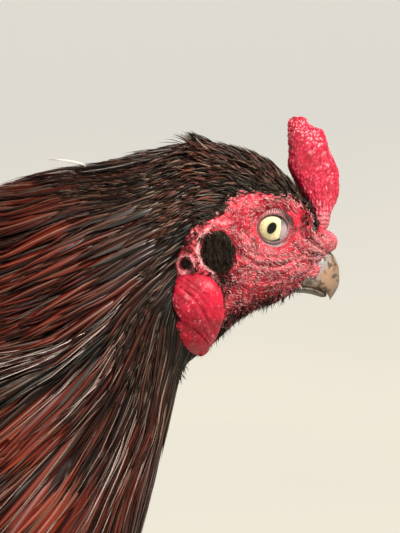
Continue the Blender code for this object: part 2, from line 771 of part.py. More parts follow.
def build_tail(model):
    """The tail: paired quills as a tent, curved sickles over them and coverts at the root."""
    pieces = []
    pairs = 5
    for side, word in ((1, "left"), (-1, "right")):
        for i in range(pairs):
            angle = side * math.radians(14 + 24 * i)
            length = 0.158 - 0.008 * i
            place = tail_place(angle, length, -0.0075, -0.10 * side, 22.35, 0.004)
            widths = (0.011, 0.019, 0.022, 0.018)
            pieces.append(vane(f"quill_{word}_{i}", place, length, widths, "black"))
        for i in range(3):
            angle = side * math.radians(10 + 24 * i)
            length = 0.172 - 0.030 * i
            place = tail_place(angle, length, -0.0040, -0.06 * side, 22.3, 0.010)
            widths = (0.009, 0.014, 0.015, 0.010)
            pieces.append(vane(f"sickle_{word}_{i}", place, length, widths, "black"))
        for i in range(4):
            angle = side * math.radians(12 + 30 * i)
            place = tail_place(angle, 0.062, -0.0030, -0.05 * side, 22.25, 0.0065)
            pieces.append(vane(f"tail_covert_{word}_{i}", place, 0.062, (0.009, 0.013, 0.010), "black"))
    stump = core("tail", RUMP_STATION, 24.0, 16, stump_height, "black", 7, ease=GAP)
    model.fuse(stump, pieces)


THIGH_LEVELS = (  # middle x, y, z, half length and half thickness
    (0.062, 0.034, 0.304, 0.036, 0.024),
    (0.060, 0.042, 0.276, 0.044, 0.029),
    (0.055, 0.049, 0.248, 0.045, 0.030),
    (0.047, 0.054, 0.218, 0.039, 0.027),
    (0.036, 0.055, 0.188, 0.029, 0.022),
    (0.025, 0.053, 0.158, 0.019, 0.016),
    (0.017, 0.0515, 0.138, 0.0128, 0.0118),
)


def oval_ring(centre, along, half_length, half_thick, count):
    """An oval round a limb whose run has this direction."""
    forward = Vector((0, 1, 0)).cross(along).normalized()
    out = along.cross(forward).normalized()
    return [
        centre + forward * (half_length * math.cos(a)) + out * (half_thick * math.sin(a))
        for a in (2 * math.pi * i / count for i in range(count))
    ]


def build_thigh(model, side, word, shift):
    """The feathered thigh and drumstick, down to the hock."""
    rings = []
    levels = len(THIGH_LEVELS)
    for k, (x, y, z, a, b) in enumerate(THIGH_LEVELS):
        centre = Vector((x + shift * k / levels, side * y, z))
        rings.append(oval_ring(centre, Vector((-0.28 * (1 - k / levels), 0, -1)).normalized(), a, b, 12))
    foot = Vector((HOCK.x + shift, side * HOCK.y, HOCK.z + GAP))
    rings.append(oval_ring(foot, Vector((0, 0, -1)), 0.0108, 0.0098, 12))
    thigh = model.add(loft("thigh_" + word, rings, "black"))
    model.cut(thigh, bpy.data.objects["torso_tool"])


def shank_rings(side, shift, swell=0.0):
    """Rings of the shank, whose front scutes stand out as steps."""
    hock = Vector((HOCK.x + shift, side * HOCK.y, HOCK.z))
    ankle = Vector((ANKLE.x + shift, side * ANKLE.y, ANKLE.z))
    along = (ankle - hock).normalized()
    length = (ankle - hock).length
    count = 10
    rings = [oval_ring(hock, Vector((0, 0, -1)), 0.0112 + swell, 0.0102 + swell, count)]
    scutes = 7
    for k in range(scutes):
        for step, raised in ((0.0, 0.0), (0.84, 0.0011)):
            share = (k + step + 0.6) / (scutes + 1)
            slim = 1 - 0.24 * math.sin(math.pi * min(share * 1.1, 1.0)) ** 0.7
            at = hock + along * (length * share)
            ring = oval_ring(at, along, 0.0108 * slim + swell, 0.0092 * slim + swell, count)
            for i, point in enumerate(ring):
                front = max(0.0, -math.cos(2 * math.pi * i / count))
                ring[i] = point + (point - at).normalized() * (raised * front)
            rings.append(ring)
    rings.append(oval_ring(ankle, along, 0.0100 + swell, 0.0094 + swell, count))
    return rings, hock + along * (length * 0.66)


def build_shank(model, side, word, shift):
    """The scaled shank and its spur."""
    rings, spur_level = shank_rings(side, shift)
    shank = model.add(loft("shank_" + word, rings, "leg"))
    base = spur_level + Vector((-0.0050, -side * 0.0040, 0))
    aim = Vector((-0.80, -side * 0.42, -0.10)).normalized()
    spur = model.add(spike("spur_" + word, base, aim, 0.0050, 0.0170, Vector((0, 0, 0.10)), "claw"))
    model.cut(spur, loft("shank_tool_" + word, shank_rings(side, shift, GAP)[0], "leg"))
    return shank


def spike(name, base, aim, radius, length, bend, finish):
    """A curved, tapered spike such as a claw or a spur."""
    rings = []
    count = 4
    for k in range(count):
        share = k / count
        centre = base + aim * (length * share) + bend * (length * share * share)
        direction = (aim + bend * (2 * share)).normalized()
        across = direction.cross(Vector((0, 0, 1))).normalized()
        high = across.cross(direction)
        size = radius * (1 - share) ** 0.8
        rings.append([
            centre + across * (size * 0.72 * math.cos(a)) + high * (size * math.sin(a))
            for a in (2 * math.pi * i / 6 for i in range(6))
        ])
    return loft(name, rings, finish, tip=base + aim * length + bend * length)


TOES = (  # name, heading in degrees from straight ahead and outward, length, root radius
    ("inner", -32.0, 0.052, 0.0072),
    ("middle", 3.0, 0.070, 0.0078),
    ("outer", 38.0, 0.056, 0.0072),
    ("hind", 168.0, 0.034, 0.0062),
)


def toe_rings(start, aim, length, radius, hind, swell=0.0):
    """Rings of a toe whose pads press flat on the ground."""
    joints = 7
    count = 8
    across = Vector((-aim.y, aim.x, 0))
    rings = []
    for k in range(joints):
        share = k / (joints - 1)
        size = radius * (1 - 0.40 * share) * (1 + 0.09 * math.cos(2 * math.pi * share * 3))
        rise = 0.0040 * (1 - share) ** 3 if hind else 0.0
        centre = start + aim * (length * share) + Vector((0, 0, size * 0.66 + rise))
        if k == joints - 1:
            centre += aim * swell
        ring = []
        for i in range(count):
            angle = 2 * math.pi * i / count
            point = centre + (across * math.cos(angle) + Vector((0, 0, math.sin(angle)))) * (size + swell)
            ring.append(Vector((point.x, point.y, max(point.z, -swell))))
        rings.append(ring)
    return rings


def build_foot(model, side, word, shift, shank):
    """The foot, its pad under the shank and four toes in one, and its claws."""
    middle = Vector((ANKLE.x + shift + 0.001, side * ANKLE.y, 0.0084))
    pad = ellipsoid("foot_" + word, middle, (0.0135, 0.0125, 0.0110), "leg", 12, 8)
    for vertex in pad.data.vertices:
        vertex.co.z = max(vertex.co.z, 0.0)
    toes = []
    for name, heading, length, radius in TOES:
        turn = math.radians(side * heading)
        aim = Vector((math.cos(turn), math.sin(turn), 0))
        start = Vector((middle.x, middle.y, 0)) + aim * 0.004
        toes.append(loft(f"toe_{name}_{word}", toe_rings(start, aim, length, radius, name == "hind"), "leg"))
        base = start + aim * (length - 0.0040) + Vector((0, 0, radius * 0.50))
        heading_up = (aim + Vector((0, 0, 0.24))).normalized()
        claw = spike(
            f"claw_{name}_{word}", base, heading_up, radius * 0.44, 0.0150, Vector((0, 0, -0.34)), "claw"
        )
        model.add(claw)
        tool = toe_rings(start, aim, length, radius, name == "hind", GAP)
        model.cut(claw, loft(f"toe_tool_{name}_{word}", tool, "leg"))
    model.fuse(pad, toes)
    swollen = tuple(r + GAP for r in (0.0135, 0.0125, 0.0110))
    model.cut(shank, ellipsoid("foot_tool_" + word, middle, swollen, "leg", 12, 8))


def build_tools(model):
    """Hidden swollen copies that neighbours are cut by, so that each keeps its gap."""
    tools = (
        head_core("head_tool", GAP),
        core("neck_tool", NECK_STATION, TORSO_STATION, 20, lambda s, a: neck_height(s, a) + GAP, "hackle", 8),
        core("torso_tool", TORSO_STATION, RUMP_STATION, 24, lambda s, a: torso_height(s, a) + GAP, "black", 13),
    )
    for tool in tools:
        model.cutters.objects.link(tool)
        tool.parent = model.root
        tool.hide_render = True
        tool.display_type = "WIRE"


def main():
    """Builds the bird from the head back."""
    clear_scene()
    model = Model()
    build_tools(model)
    head = build_head(model)
    build_beak(model, head)
    build_comb(model)
    build_lobes(model)
    build_neck(model)
    build_torso(model)
    build_wings(model)
    build_tail(model)
    for side, word, shift in ((1, "left", STRIDE), (-1, "right", -STRIDE)):
        build_thigh(model, side, word, shift)
        shank = build_shank(model, side, word, shift)
        build_foot(model, side, word, shift, shank)
    settle(model)


if __name__ == "__main__":
    main()
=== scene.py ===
"""Looks of a life-size aseel cock: skin, comb, eyes, horn, scales and plumage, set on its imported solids.

Lengths are in metres. The bird faces +X and stands on the floor at Z = 0, and its left side is +Y.
"""

import logging
import math
from collections.abc import Callable
from dataclasses import dataclass, replace, field
from enum import Enum

import bpy
import numpy as np
from bpy.types import Material, Node, NodeSocket, NodeTree, Object
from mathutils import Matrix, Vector
from mathutils.bvhtree import BVHTree

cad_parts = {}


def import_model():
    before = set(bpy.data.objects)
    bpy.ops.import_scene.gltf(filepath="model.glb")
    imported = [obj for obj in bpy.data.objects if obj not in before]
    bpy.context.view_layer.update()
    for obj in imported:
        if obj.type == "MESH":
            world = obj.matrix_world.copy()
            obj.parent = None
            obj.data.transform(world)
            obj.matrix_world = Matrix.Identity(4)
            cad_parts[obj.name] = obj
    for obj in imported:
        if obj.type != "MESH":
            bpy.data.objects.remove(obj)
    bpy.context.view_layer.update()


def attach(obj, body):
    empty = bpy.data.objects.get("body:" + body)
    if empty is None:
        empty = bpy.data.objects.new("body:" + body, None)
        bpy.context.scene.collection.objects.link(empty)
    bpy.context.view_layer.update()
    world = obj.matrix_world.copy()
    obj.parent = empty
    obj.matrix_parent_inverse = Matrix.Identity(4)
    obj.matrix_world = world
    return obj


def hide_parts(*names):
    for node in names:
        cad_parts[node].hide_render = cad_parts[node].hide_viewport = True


LOG = logging.getLogger("aseel_cock")
Array = np.ndarray
Field = Callable[[Array, Array, Array], Array]
Line = tuple[tuple[float, float], ...]
Rows = tuple[tuple[float, ...], ...]
MM = 0.001
TENTHS = 10000  # tenths of a millimetre in a metre, which the tables of sections are in
SIDES = ((1.0, "left"), (-1.0, "right"))
CENTRE_SHIFT = 0.0194
EYE = np.array([0.198 + CENTRE_SHIFT, 0.0, 0.520])
NECK_STATION, TORSO_STATION, RUMP_STATION, TAIL_STATION = 9.0, 14.2, 22.0, 27.0
CAPE_DEPTH = 0.0075
FULL_TURN = 2 * math.pi
SCRAMBLE_WAY, SCRAMBLE_SIZE = (12.9898, 78.233, 37.719), 43758.5453


def linear(colour: str) -> tuple[float, float, float, float]:
    """Turns an sRGB hex colour into the linear one that a shader takes.

    Args:
        colour: six hex digits after a hash.

    Returns:
        Red, green, blue and an alpha of one.
    """
    parts = [int(colour[i : i + 2], 16) / 255 for i in (1, 3, 5)]
    red, green, blue = (c / 12.92 if c <= 0.04045 else ((c + 0.055) / 1.055) ** 2.4 for c in parts)
    return red, green, blue, 1.0


def smoothstep(low: float, high: float, value: Array) -> Array:
    """A smooth rise from 0 at low to 1 at high."""
    share = np.clip((value - low) / (high - low), 0, 1)
    return share * share * (3 - 2 * share)


def bump(distance: Array, width: float) -> Array:
    """A round swell that is 1 at no distance and fades over this width."""
    return np.exp(-((distance / width) ** 2))


def unit(vectors: Array) -> Array:
    """The same directions with a length of one."""
    return vectors / np.maximum(np.linalg.norm(vectors, axis=-1, keepdims=True), 1e-12)


def scramble(cells: Array) -> Array:
    """A fixed random number from -1 to 1 for each cell of a lattice."""
    mixed = np.sin(cells @ np.array(SCRAMBLE_WAY)) * SCRAMBLE_SIZE
    return 2 * (mixed - np.floor(mixed)) - 1


def lattice_noise(points: Array, size: float, seed: float) -> Array:
    """Smooth random swells.

    Args:
        points: places in metres, with the coordinates last.
        size: how far apart the swells are.
        seed: any number, which picks the pattern.

    Returns:
        A value from -1 to 1 for each place.
    """
    spot = points / size + seed * 17.37
    cell = np.floor(spot)
    part = spot - cell
    part = part * part * (3 - 2 * part)
    total = np.zeros(points.shape[:-1])
    for corner in range(8):
        step = np.array([corner & 1, corner >> 1 & 1, corner >> 2 & 1])
        total += np.prod(np.where(step, part, 1 - part), axis=-1) * scramble(cell + step)
    return total


def pebbles(points: Array, size: float, seed: float) -> Array:
    """Rounded grains side by side, such as the pebbles of a comb.

    Args:
        points: places in metres, with the coordinates last.
        size: how far apart the grains are.
        seed: any number, which picks the pattern.

    Returns:
        1 on a grain's top and 0 in the groove between two.
    """
    spot = points / size + seed * 9.71
    cell = np.floor(spot)
    near = np.full(points.shape[:-1], 9.0)
    second = near.copy()
    for step in np.ndindex(3, 3, 3):
        other = cell + np.array(step) - 1
        shift = np.stack([scramble(other + k * 31.7) for k in range(3)], -1)
        gap = np.linalg.norm(other + 0.5 + 0.42 * shift - spot, axis=-1)
        second = np.minimum(second, np.maximum(near, gap))
        near = np.minimum(near, gap)
    return smoothstep(0.0, 0.55, second - near)


def full_circle(count: int) -> Array:
    """Even turns once round, the first of them 0."""
    return np.linspace(0, FULL_TURN, count, endpoint=False)


def side_view(x: Array, z: Array) -> Array:
    """Places of the side view, in millimetres ahead of the eye and above it."""
    return np.stack([x - EYE[0], z - EYE[2]], -1) / MM


def away(view: Array, ahead: float, up: float, squeeze: float = 1.0) -> Array:
    """How far places of the side view are from one of them, with the upright way squeezed."""
    return np.hypot(view[..., 0] - ahead, (view[..., 1] - up) * squeeze)


def from_eye(ahead: Array, aside: Array, up: Array) -> Array:
    """Points at metres ahead of the eye, aside of the middle and above the eye, coordinates last."""
    return np.stack(np.broadcast_arrays(EYE[0] + ahead, aside, EYE[2] + up), -1)


def segment_distance(points: Array, line: Line) -> Array:
    """How far places of the side view are from a line of points.

    Args:
        points: places with x and z last, in millimetres from the eye.
        line: the line's corners, in the same units.

    Returns:
        The distance of each place.
    """
    best = np.full(points.shape[:-1], 1e9)
    for (ax, az), (bx, bz) in zip(line, line[1:]):
        run_x, run_z = bx - ax, bz - az
        off_x, off_z = points[..., 0] - ax, points[..., 1] - az
        share = np.clip((off_x * run_x + off_z * run_z) / (run_x**2 + run_z**2), 0, 1)
        best = np.minimum(best, np.hypot(off_x - share * run_x, off_z - share * run_z))
    return best


def depth_inside(points: Array, outline: Line) -> Array:
    """How deep places of the side view lie inside a closed outline.

    Args:
        points: places with x and z last, in millimetres from the eye.
        outline: the outline's corners, in the same units.

    Returns:
        The distance to the outline, negative outside it.
    """
    closed = outline + outline[:1]
    inside = np.zeros(points.shape[:-1], bool)
    for (ax, az), (bx, bz) in zip(closed, closed[1:]):
        spans = (az > points[..., 1]) != (bz > points[..., 1])
        share = (points[..., 1] - az) / (bz - az if bz != az else 1e-9)
        inside ^= spans & (points[..., 0] < ax + share * (bx - ax))
    return np.where(inside, 1, -1) * segment_distance(points, closed)


def rows_between(rows: Array, at: Array) -> Array:
    """Rows of a table at any place between them, on one smooth curve.

    Args:
        rows: the table, one row for each whole number.
        at: places along the table, of any shape.

    Returns:
        The rows there, with the table's columns last.
    """
    last = len(rows) - 1
    at = np.clip(at, 0, last)
    i = np.minimum(at.astype(int), last - 1)
    t = (at - i)[..., None]
    p0, p1, p2, p3 = rows[np.maximum(i - 1, 0)], rows[i], rows[i + 1], rows[np.minimum(i + 2, last)]
    curve = 2 * p1 + (p2 - p0) * t + (2 * p0 - 5 * p1 + 4 * p2 - p3) * t**2
    return 0.5 * (curve + (3 * p1 - p0 - 3 * p2 + p3) * t**3)


@dataclass
class Shape:
    """A mesh in the making: its points, faces, and the values that its finish reads."""

    points: Array
    quads: Array
    triangles: Array
    values: dict[str, Array] = field(default_factory=dict)
    patch: Array | None = None
    creased: Array | None = None

    def turned_out(self) -> "Shape":
        """Turns the faces round if they point inward, and returns the shape."""
        corners = self.points[self.quads]
        volume = np.einsum("ij,ij->i", corners[:, 0], np.cross(corners[:, 1], corners[:, 2])).sum()
        volume += np.einsum("ij,ij->i", corners[:, 0], np.cross(corners[:, 2], corners[:, 3])).sum()
        if volume < 0:
            self.quads = self.quads[:, ::-1]
            self.triangles = self.triangles[:, ::-1]
        return self

    def build(self, name: str, finish: Material) -> Object:
        """Makes the object, smooth shaded.

        Args:
            name: the piece's name.
            finish: its material.

        Returns:
            The object, linked to the scene.
        """
        mesh = bpy.data.meshes.new(name)
        loops = np.concatenate([self.quads.ravel(), self.triangles.ravel()]).astype(np.int32)
        starts = np.concatenate([
            np.arange(len(self.quads)) * 4, len(self.quads) * 4 + np.arange(len(self.triangles)) * 3,
        ]).astype(np.int32)
        mesh.vertices.add(len(self.points))
        mesh.vertices.foreach_set("co", self.points.astype(np.float32).ravel())
        mesh.loops.add(len(loops))
        mesh.loops.foreach_set("vertex_index", loops)
        mesh.polygons.add(len(starts))
        mesh.polygons.foreach_set("loop_start", starts)
        mesh.update(calc_edges=True)
        mesh.validate()
        mesh.polygons.foreach_set("use_smooth", np.ones(len(mesh.polygons), bool))
        for key, value in self.values.items():
            layer = mesh.attributes.new(key, "FLOAT", "POINT")
            layer.data.foreach_set("value", value.astype(np.float32).ravel())
        if self.patch is not None:
            unwrap(mesh, self.patch)
        if self.creased is not None:
            ends = np.empty(len(mesh.edges) * 2, np.int32)
            mesh.edges.foreach_get("vertices", ends)
            kinds = self.creased[ends.reshape(-1, 2)]
            sharp = (kinds[:, 0] == kinds[:, 1]) & (kinds[:, 0] > 0)
            layer = mesh.attributes.new("sharp_edge", "BOOLEAN", "EDGE")
            layer.data.foreach_set("value", sharp)
        mesh.materials.append(finish)
        return placed(name, mesh)


def placed(name: str, data: object) -> Object:
    """A new object in the scene, at the origin."""
    made = bpy.data.objects.new(name, data)
    bpy.context.scene.collection.objects.link(made)
    return made


def unwrap(mesh: object, flat: Array) -> None:
    """Gives a mesh its unwrap, from a place on it for each point."""
    corners = np.empty(len(mesh.loops), np.int32)
    mesh.loops.foreach_get("vertex_index", corners)
    layer = mesh.uv_layers.new(name="OFBake")
    layer.data.foreach_set("uv", flat[corners].astype(np.float32).ravel())


def joined(shapes: list[Shape]) -> Shape:
    """One shape of several that hold the same values.

    Args:
        shapes: the shapes.

    Returns:
        Their points and faces together.
    """
    offsets = np.cumsum([0] + [len(s.points) for s in shapes[:-1]])
    return Shape(
        np.concatenate([s.points for s in shapes]),
        np.concatenate([s.quads + o for s, o in zip(shapes, offsets)]),
        np.concatenate([s.triangles + o for s, o in zip(shapes, offsets)]),
        {key: np.concatenate([s.values[key] for s in shapes]) for key in shapes[0].values},
        None if shapes[0].patch is None else np.concatenate([s.patch for s in shapes]),
        None if shapes[0].creased is None else np.concatenate([s.creased for s in shapes]),
    )


def tube(rings: Array, values: dict[str, Array] | None = None) -> Shape:
    """A closed form through rings of points, with a round cap on each end.

    Args:
        rings: points as ring, place round it, and coordinate.
        values: a value for each point, as ring and place round it.

    Returns:
        The shape, with its faces pointing out.
    """
    rows, count = rings.shape[:2]
    ids = np.arange(rows * count).reshape(rows, count)
    after = np.roll(ids, -1, axis=1)
    quads = np.stack([ids[:-1], after[:-1], after[1:], ids[1:]], -1).reshape(-1, 4)
    first, last = rows * count, rows * count + 1
    start = np.stack([after[0], ids[0], np.full(count, first)], -1)
    end = np.stack([ids[-1], after[-1], np.full(count, last)], -1)
    points = np.concatenate([rings.reshape(-1, 3), [rings[0].mean(0), rings[-1].mean(0)]])
    held = {
        key: np.concatenate([value.ravel(), [value[0].mean(), value[-1].mean()]])
        for key, value in (values or {}).items()
    }
    return Shape(points, quads, np.concatenate([start, end]), held).turned_out()


def add_node(
    tree: NodeTree,
    kind: str,
    inputs: dict[str | int, object] | None = None,
    stops: tuple[tuple[float, str], ...] = (),
    **settings: object,
) -> Node:
    """Adds a node with its settings, its input values and its links.

    Args:
        tree: the node tree.
        kind: the node's type.
        inputs: for each input, a socket to link, a hex colour or a value.
        stops: places and hex colours of a colour ramp.
        settings: the node's own settings.

    Returns:
        The node.
    """
    made = tree.nodes.new(kind)
    for key, value in settings.items():
        setattr(made, key, value)
    for key, value in (inputs or {}).items():
        if isinstance(value, NodeSocket):
            tree.links.new(value, made.inputs[key])
        else:
            coloured = isinstance(value, str) and value.startswith("#")
            made.inputs[key].default_value = linear(value) if coloured else value
    for i, (place, colour) in enumerate(stops):
        ramp = made.color_ramp
        element = ramp.elements[i] if i < 2 else ramp.elements.new(place)
        element.position = place
        element.color = linear(colour)
    return made


def mixed(tree: NodeTree, factor: object, first: object, second: object, way: str = "MIX") -> NodeSocket:
    """Mixes two colours.

    Args:
        tree: the node tree.
        factor: a socket or a share of the second colour.
        first: a socket or a hex colour.
        second: a socket or a hex colour.
        way: how they blend.

    Returns:
        The mixed colour's socket.
    """
    made = add_node(
        tree, "ShaderNodeMix", {0: factor, 6: first, 7: second}, data_type="RGBA", blend_type=way
    )
    return made.outputs[2]


def reading(tree: NodeTree, name: str) -> NodeSocket:
    """A value that the mesh carries at its points."""
    return add_node(tree, "ShaderNodeAttribute", attribute_name=name).outputs["Fac"]


def layered(tree: NodeTree, colour: NodeSocket, **layers: str) -> NodeSocket:
    """Lays colours over another one, each where the mesh carries the value of its name."""
    for name, over in layers.items():
        colour = mixed(tree, reading(tree, name), colour, over)
    return colour


def clouded(tree: NodeTree, scale: float, detail: float) -> NodeSocket:
    """Smooth random values that stay with the piece, this many to the metre."""
    place = add_node(tree, "ShaderNodeTexCoord").outputs["Object"]
    sizes = {"Vector": place, "Scale": scale, "Detail": detail}
    return add_node(tree, "ShaderNodeTexNoise", sizes).outputs["Fac"]


def spread(
    tree: NodeTree, value: object, low: float, high: float, first: float = 0.0, last: float = 1.0
) -> NodeSocket:
    """A value stretched from one range to another, and held at the ends."""
    sizes = {"Value": value, "From Min": low, "From Max": high, "To Min": first, "To Max": last}
    return add_node(tree, "ShaderNodeMapRange", sizes).outputs["Result"]


@dataclass(frozen=True)
class Finish:
    """What every material of the bird starts from: gloss, fine relief, and how light seeps into it."""

    name: str
    roughness: float = 0.5
    metallic: float = 0.0
    ior: float = 1.45
    shine: float = 0.5
    coat: float = 0.0
    coat_roughness: float = 0.1
    relief: tuple[float, float] = (0.0, 0.0)  # strength, and height in metres
    seep: float = 0.0
    seep_reach: tuple[float, float, float] = (1.0, 0.2, 0.1)  # metres for red, green and blue

    def start(self) -> tuple[Material, dict[str, NodeSocket]]:
        """Makes the material with its plain settings.

        Returns:
            The material, and the inputs of its shader.
        """
        made = bpy.data.materials.new(self.name)
        made.use_nodes = True
        inputs = made.node_tree.nodes["Principled BSDF"].inputs
        plain = {
            "Roughness": self.roughness, "Metallic": self.metallic, "IOR": self.ior,
            "Specular IOR Level": self.shine, "Coat Weight": self.coat, "Coat Roughness": self.coat_roughness,
        }
        if self.seep:
            plain |= {"Subsurface Weight": self.seep, "Subsurface Radius": self.seep_reach}
            plain["Subsurface Scale"] = 1.0
        for key, value in plain.items():
            inputs[key].default_value = value
        return made, inputs

    def make(self) -> Material:
        """Builds the material from its plain settings and its pattern.

        Returns:
            The material.
        """
        made, inputs = self.start()
        tree = made.node_tree
        colour, grain = self.pattern(tree)
        tree.links.new(colour, inputs["Base Color"])
        if grain is not None:
            sizes = {"Height": grain, "Strength": self.relief[0], "Distance": self.relief[1]}
            tree.links.new(add_node(tree, "ShaderNodeBump", sizes).outputs["Normal"], inputs["Normal"])
        return made


@dataclass(frozen=True)
class SkinFinish(Finish):
    """Bare poultry skin, thin and blood-red, matt with a little sweat gloss on its folds.

    It reads bare (red skin), pale (bloodless folds and the pale ear rim, with painted highlights on the
    pleats of the lores and the ear roll), grey (lids), dark (the black ear and darker lores, with painted
    shade in the ear pit, the hollows and the grooves of pleats and grains) and crest (tops of the papillae,
    lightened as a painted highlight).
    The skin that feathers cover is painted near black, as the shade between the feathers.
    """

    flush: str = "#ca1c37"
    # Painted highlight colour, which crest lays on the tops of the grains.
    light: str = "#f88a98"
    groove: str = "#780a1c"
    # Painted shade: the skin under the feathers is near black, so that gaps between feathers read as shadow.
    covered: str = "#0f0b09"
    relief: tuple[float, float] = (0.5, 0.0002)
    seep: float = 0.12
    seep_reach: tuple[float, float, float] = (0.0030, 0.0009, 0.0006)

    def pattern(self, tree: NodeTree) -> tuple[NodeSocket, NodeSocket]:
        """Colour and height: blotches of blood 2 to 4 mm across, and a grain of 0.4 mm.

        Args:
            tree: the material's nodes.

        Returns:
            The sockets of the two.
        """
        blotch, grain = clouded(tree, 380.0, 3.0), clouded(tree, 2400.0, 2.0)
        stops = ((0.32, self.groove), (0.52, self.flush), (0.70, "#da2c46"))
        red = add_node(tree, "ShaderNodeValToRGB", {"Fac": blotch}, stops).outputs["Color"]
        speck = add_node(
            tree, "ShaderNodeValToRGB", {"Fac": grain}, ((0.42, "#5a5a5a"), (0.66, "#ffffff"))
        ).outputs["Color"]
        lively = mixed(tree, 0.40, layered(tree, red, crest=self.light), speck, "MULTIPLY")
        shaded = layered(tree, lively, pale="#f0aeb0", grey="#978c90", dark="#16120f")
        return mixed(tree, reading(tree, "bare"), self.covered, shaded), grain


@dataclass(frozen=True)
class FleshFinish(Finish):
    """Comb and lobe flesh: swollen, blood-filled and waxy, with pebbles that catch the light.

    It reads crest (a painted highlight on the tops of the pebbles), pale (painted glints, and some paler
    ridges) and dark (painted shade in grooves and creases, and the painted shadow on the lobe's lower fold)
    from the mesh.
    """

    deep: str = "#900820"
    mid: str = "#c01236"
    # Painted light: light is the highlight on the pebble tops, speck the colour of glints, and groove the
    # shade in grooves and creases.
    light: str = "#ec4f70"
    speck: str = "#fdb6c0"
    groove: str = "#7a0618"
    grain_mm: float = 0.5
    relief: tuple[float, float] = (0.4, 0.00025)
    seep: float = 0.20
    seep_reach: tuple[float, float, float] = (0.0040, 0.0010, 0.0007)

    def pattern(self, tree: NodeTree) -> tuple[NodeSocket, NodeSocket]:
        """Colour and height: clouds of blood 4 mm across, and a fine grain.

        Args:
            tree: the material's nodes.

        Returns:
            The sockets of the two.
        """
        stops = ((0.34, self.deep), (0.60, self.mid))
        red = add_node(tree, "ShaderNodeValToRGB", {"Fac": clouded(tree, 260.0, 3.0)}, stops).outputs["Color"]
        red = layered(tree, red, crest=self.light, pale=self.speck, dark=self.groove)
        return red, clouded(tree, 1.0 / (self.grain_mm * MM), 2.0)


@dataclass(frozen=True)
class HornFinish(Finish):
    """Keratin of beak, claws and spurs: grown in layers, worn to a dull polish, darker where it is thick.

    It reads along (root to tip) and under (cutting edge) from the mesh.
    """

    base: str = "#73828c"
    middle: str = "#8d7057"
    tip: str = "#695a4e"
    blotch: str = "#2a2220"
    blotches: float = 0.8
    layer_mm: float = 0.7
    relief: tuple[float, float] = (0.18, 0.0002)

    def pattern(self, tree: NodeTree) -> tuple[NodeSocket, NodeSocket]:
        """Colour and height: zones from root to tip, dark stains 2 mm across, and thin growth layers.

        Args:
            tree: the material's nodes.

        Returns:
            The sockets of the two.
        """
        shifted = add_node(
            tree, "ShaderNodeMath", {0: clouded(tree, 300.0, 3.0), 1: 0.35, 2: reading(tree, "along")},
            operation="MULTIPLY_ADD",
        )
        grown = add_node(
            tree, "ShaderNodeValToRGB", {"Fac": shifted.outputs[0]},
            ((0.34, self.base), (0.66, self.middle), (1.0, self.tip)),
        ).outputs["Color"]
        stain, stops = clouded(tree, 420.0, 4.0), ((0.50, "#000000"), (0.60, "#ffffff"))
        patch = add_node(tree, "ShaderNodeValToRGB", {"Fac": stain}, stops).outputs["Color"]
        held = add_node(tree, "ShaderNodeMath", {0: patch, 1: self.blotches}, operation="MULTIPLY").outputs[0]
        place = add_node(tree, "ShaderNodeTexCoord").outputs["Object"]
        scale = 1.0 / (self.layer_mm * MM) / FULL_TURN
        layers = add_node(
            tree, "ShaderNodeTexWave", {"Vector": place, "Scale": scale, "Distortion": 3.0, "Detail": 2.0}
        )
        return mixed(tree, held, layered(tree, grown, under=self.middle), self.blotch), layers.outputs["Fac"]


@dataclass(frozen=True)
class EyeFinish(Finish):
    """A wet living eye: pearl iris with fine radial fibres, a black pupil and a dark rim under the cornea.

    It reads iris_x and iris_z, millimetres from the pupil's middle, from the mesh.
    """

    iris_mm: float = 4.3
    pupil_mm: tuple[float, float] = (1.42, 2.12)
    pupil_tilt: float = -0.54

    def pattern(self, tree: NodeTree) -> tuple[NodeSocket, None]:
        """Colour of the eye from the pupil out: olive ring, pearl with rusty specks, dark rim and white.

        Args:
            tree: the material's nodes.

        Returns:
            The colour's socket, and nothing for the height.
        """
        across = reading(tree, "iris_x")
        flat = add_node(tree, "ShaderNodeCombineXYZ", {0: across, 1: reading(tree, "iris_z")}).outputs[0]
        aim = add_node(tree, "ShaderNodeVectorMath", {0: flat}, operation="NORMALIZE").outputs[0]
        fibre, cloud, specks = (
            add_node(tree, "ShaderNodeTexNoise", {"Vector": at, "Scale": size, "Detail": fine}).outputs["Fac"]
            for at, size, fine in ((aim, 16.0, 3.0), (flat, 0.9, 3.0), (flat, 3.2, 2.0))
        )
        pearl = add_node(
            tree, "ShaderNodeValToRGB", {"Fac": fibre}, ((0.35, "#a8965f"), (0.62, "#dfd6ac"))
        ).outputs["Color"]
        pearl = mixed(tree, cloud, pearl, "#d8cfa8")
        oval = add_node(tree, "ShaderNodeMapping", {
            "Vector": flat, "Rotation": (0, 0, self.pupil_tilt), "Scale": (*self.pupil_mm, 1.0),
        }, vector_type="TEXTURE").outputs[0]
        reach, pupil = (
            add_node(tree, "ShaderNodeVectorMath", {0: way}, operation="LENGTH").outputs["Value"]
            for way in (flat, oval)
        )
        seen = mixed(tree, spread(tree, pupil, 1.0, 1.7, 0.75, 0.0), pearl, "#8d8a5c")
        rear = spread(tree, across, -1.2, -3.6)
        rust = add_node(
            tree, "ShaderNodeMath", {0: spread(tree, specks, 0.56, 0.62), 1: rear}, operation="MULTIPLY"
        )
        seen = mixed(tree, rust.outputs[0], seen, "#8a6a3c")
        seen = mixed(tree, spread(tree, reach, self.iris_mm - 0.35, self.iris_mm), seen, "#3a3230")
        seen = mixed(tree, spread(tree, reach, self.iris_mm + 0.1, self.iris_mm + 0.4), seen, "#a9a2a4")
        return mixed(tree, spread(tree, pupil, 1.06, 0.94), seen, "#050505"), None


